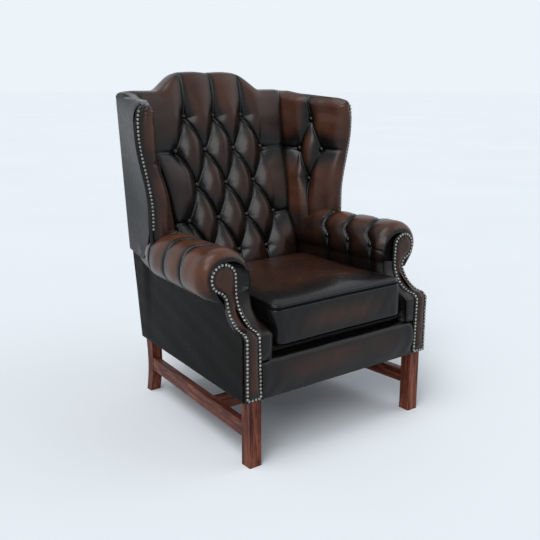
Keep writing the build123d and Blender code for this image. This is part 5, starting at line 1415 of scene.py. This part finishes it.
for f in top[1:]:
    plan = seam * f
    edge_gap = (1 - f) * np.hypot(seam[:, 0], seam[:, 1])
    turned_down = 1 - np.clip(edge_gap / 0.050, 0, 1)
    crown = 0.013 * np.sqrt(1 - turned_down**2) + 0.0065 * (1 - f**2)
    crown = crown * (1 - 0.20 * np.abs(plan[:, 0] / cushion_half) ** 3)
    pucker = 0.0022 * np.sin(corner_gap * 420 + 1) * np.exp(-corner_gap / 0.020)
    pucker = pucker * np.exp(-edge_gap / 0.018) * smooth(0, 0.004, edge_gap)
    dimple = 0.0011 * ripple(53, plan[:, 0] * 16, plan[:, 1] * 12) * smooth(0, 0.05, edge_gap)
    ring_points.append(np.column_stack([lean_forward(plan, 1), cushion_high + crown + pucker + dimple]))
    border = 0.010 + 0.040 * front_share
    tone = smooth(border, border + 0.045 + 0.070 * front_share, edge_gap)
    tone = tone * (0.80 + 0.20 * ripple(55, plan[:, 0] * 9, plan[:, 1] * 6))
    ring_proud.append(tone * 0.52)
cushion_grid = np.stack(ring_points)
cushion_grid[:, :, 1] += middle_y
cushion = lay_grid("cushion_leather", cushion_grid, np.stack(ring_proud))
cover_node(cushion, tufted_leather, "cushion", "seat_cushion")

# %% Piping round both seams
pipe_radius = 0.0022
pipes = []
for level in (cushion_low + 0.0050, cushion_high - 0.0085):
    ring = lean_forward(seam + seam_normal * 0.0006, (level - cushion_low) / cushion_height)[:-1]
    deselect_all()
    bpy.ops.curve.primitive_bezier_circle_add(radius=1)
    pipe = bpy.context.object
    pipe.data.splines.clear()
    spline = pipe.data.splines.new("POLY")
    spline.points.add(len(ring) - 1)
    for point, (x, y) in zip(spline.points, ring):
        point.co = (x, y + middle_y, level, 1)
    spline.use_cyclic_u = True
    pipe.data.dimensions = "3D"
    pipe.data.bevel_depth = pipe_radius
    pipe.data.bevel_resolution = 4
    pick(pipe)
    bpy.ops.object.convert(target="MESH")
    pipes.append(bpy.context.object)
piping = join_parts(pipes, "cushion_piping")
cover_node(piping, panel_leather, "cushion", "cushion_welts")

# %% [markdown]
# ## Deck under the cushion
# With the cushion lifted, a dark canvas deck shows over the springs. The springs print
# through it as shallow waves.

# %% Build the deck
deck_count = 90
deck_rows = []
deck_x = np.linspace(-1, 1, deck_count)
deck_y = np.linspace(place(0.0435), 0.262, deck_count)
for y in deck_y:
    half = frame_side(y) - 0.036
    x = deck_x * half
    edge = np.minimum(half - np.abs(x), np.minimum(y - deck_y[0], deck_y[-1] - y))
    z = 0.3445 - 0.004 * np.exp(-edge / 0.006) - 0.0012 * (1 + np.sin(x * 62)) * smooth(0, 0.04, edge)
    deck_rows.append(np.column_stack([x, np.full(len(x), y), z]))
deck_top = np.stack(deck_rows)
deck_low = deck_top[::-1].copy()
deck_low[:, :, 2] = 0.309
deck_loop = np.concatenate([deck_top, deck_low, deck_top[:1]])
deck = lay_grid("deck_cloth", deck_loop, np.zeros(deck_loop.shape[:2]))
cover_node(deck, canvas, "chair", "seat_deck")

# %% [markdown]
# ## Outside arms and outside back
# These two panels follow the frame. The arm panel runs from the facing to the rear corner and
# tucks under the roll. The back panel follows the outline of the crest.

# %% Outside arms
arm_panel_rows, back_panel_rows, panel_columns = 80, 110, 120
panel_levels = np.linspace(0, 1, arm_panel_rows)
panel_back = np.linspace(0, 1, panel_columns)
arm_panel = np.zeros((arm_panel_rows, panel_columns, 3))
for row, level in enumerate(panel_levels):
    y_front = facing_y(seat_bottom + level * 0.269) + 0.0082
    y_rear = outside_back(seat_bottom + level * 0.30) + 0.003
    y = y_front + (y_rear - y_front) * panel_back
    top = 0.4765 + 0.062 * smooth(place(0.545), place(0.600), y)
    z = seat_bottom + level * (top - seat_bottom)
    poke = 0.019 * np.clip(z - seat_bottom, 0, 1) * smooth(place(0.60), place(0.66), y)
    sag = 0.0030 * np.sin(pi * panel_back) ** 0.7 * sin(pi * level) ** 0.8
    waves = 0.0006 * ripple(61, y * 16, z * 14)
    x = frame_side(y) + 0.0075 + poke - sag + waves
    x = x - 0.003 * np.exp(-(y_rear - y) / 0.0022)
    arm_panel[row] = np.column_stack([x, y, z])
arm_worn = 0.25 * smooth(0.0, 0.3, panel_levels)[:, None] * np.ones((1, panel_columns))
add_side_panels("arm", arm_panel, arm_worn)

# %% Outside back
back_panel = np.zeros((back_panel_rows, panel_columns, 3))
back_share = np.linspace(-1, 1, panel_columns)
for row, level in enumerate(np.linspace(0, 1, back_panel_rows)):
    half = 0.3165 + 0.0165 * level
    x = back_share * half
    top = crest_height(np.clip(x, -0.33, 0.33)) - 0.0065 - 0.010 * smooth(0.3235, 0.334, np.abs(x))
    z = seat_bottom + level * (top - seat_bottom)
    sag = 0.003 * np.cos(back_share * pi / 2) ** 0.8 * sin(pi * level) ** 0.8
    y = outside_back(z) + 0.004 - sag - 0.003 * np.exp(-(half - np.abs(x)) / 0.0022)
    y = y + 0.0006 * ripple(63, x * 14, z * 12)
    back_panel[row] = np.column_stack([x, y, z])
back_worn = np.zeros((back_panel_rows, panel_columns))
add_panel("outside_back_leather", "outside_back_panel", back_panel[:, ::-1], back_worn)

# %% [markdown]
# ## Floor, sky and lamps
# A plain pale floor under a pale backdrop. One broad sun shines from overhead, a second stands
# for a large window on the chair's left, and a weaker third lifts the far side. Broad suns give
# soft shadows. Camera, glossy and transmission rays see the pale backdrop, and a weaker sky
# lights everything else.

# %% Floor and lamps
pale = (0.84, 0.895, 0.95)
deselect_all()
bpy.ops.mesh.primitive_circle_add(vertices=96, radius=60, fill_type="NGON")
floor = bpy.context.object
floor.name = "studio_floor"
floor_finish = make_plain("studio_floor", (0.81, 0.865, 0.92), (0.83, 0.885, 0.94), 0.5, 0.9, bump=0.0)
floor_finish.node_tree.nodes["Principled BSDF"].inputs["Specular IOR Level"].default_value = 0
floor.data.materials.append(floor_finish)

world = bpy.data.worlds.new("studio")
bpy.context.scene.world = world
world.use_nodes = True
air = world.node_tree
sky = air.nodes["Background"]
sky.inputs["Color"].default_value = (0.93, 0.96, 1.0, 1)
sky.inputs["Strength"].default_value = 0.40
seen = air.nodes.new("ShaderNodeBackground")
seen.inputs["Color"].default_value = (*pale, 1)
path = air.nodes.new("ShaderNodeLightPath")
choose = air.nodes.new("ShaderNodeMixShader")
seen_rays = maths(air, "MAXIMUM", path.outputs["Is Camera Ray"], path.outputs["Is Glossy Ray"])
seen_rays = maths(air, "MAXIMUM", seen_rays, path.outputs["Is Transmission Ray"])
air.links.new(seen_rays, choose.inputs[0])
air.links.new(sky.outputs[0], choose.inputs[1])
air.links.new(seen.outputs[0], choose.inputs[2])
air.links.new(choose.outputs[0], air.nodes["World Output"].inputs["Surface"])


def add_sun(name, toward, strength, width, colour):
    """A sun lamp that shines from a direction given by a point, with its width in degrees."""
    data = bpy.data.lights.new(name, "SUN")
    data.energy = strength
    data.angle = radians(width)
    data.color = colour
    lamp = bpy.data.objects.new(name, data)
    bpy.context.scene.collection.objects.link(lamp)
    lamp.matrix_world = Vector(toward).to_track_quat("Z", "Y").to_matrix().to_4x4()


warm, warmer, cool = (1.0, 0.99, 0.97), (1.0, 0.985, 0.96), (0.95, 0.97, 1.0)
add_sun("overhead", (-0.55, -0.05, 1.5), strength=1.15, width=34, colour=warm)
add_sun("window", (-1.2, -0.9, 1.2), strength=1.05, width=30, colour=warmer)
add_sun("fill", (1.4, -0.8, 1.2), strength=0.4, width=50, colour=cool)
bpy.context.scene.view_settings.view_transform = "Standard"
print("lamps and floor ready")
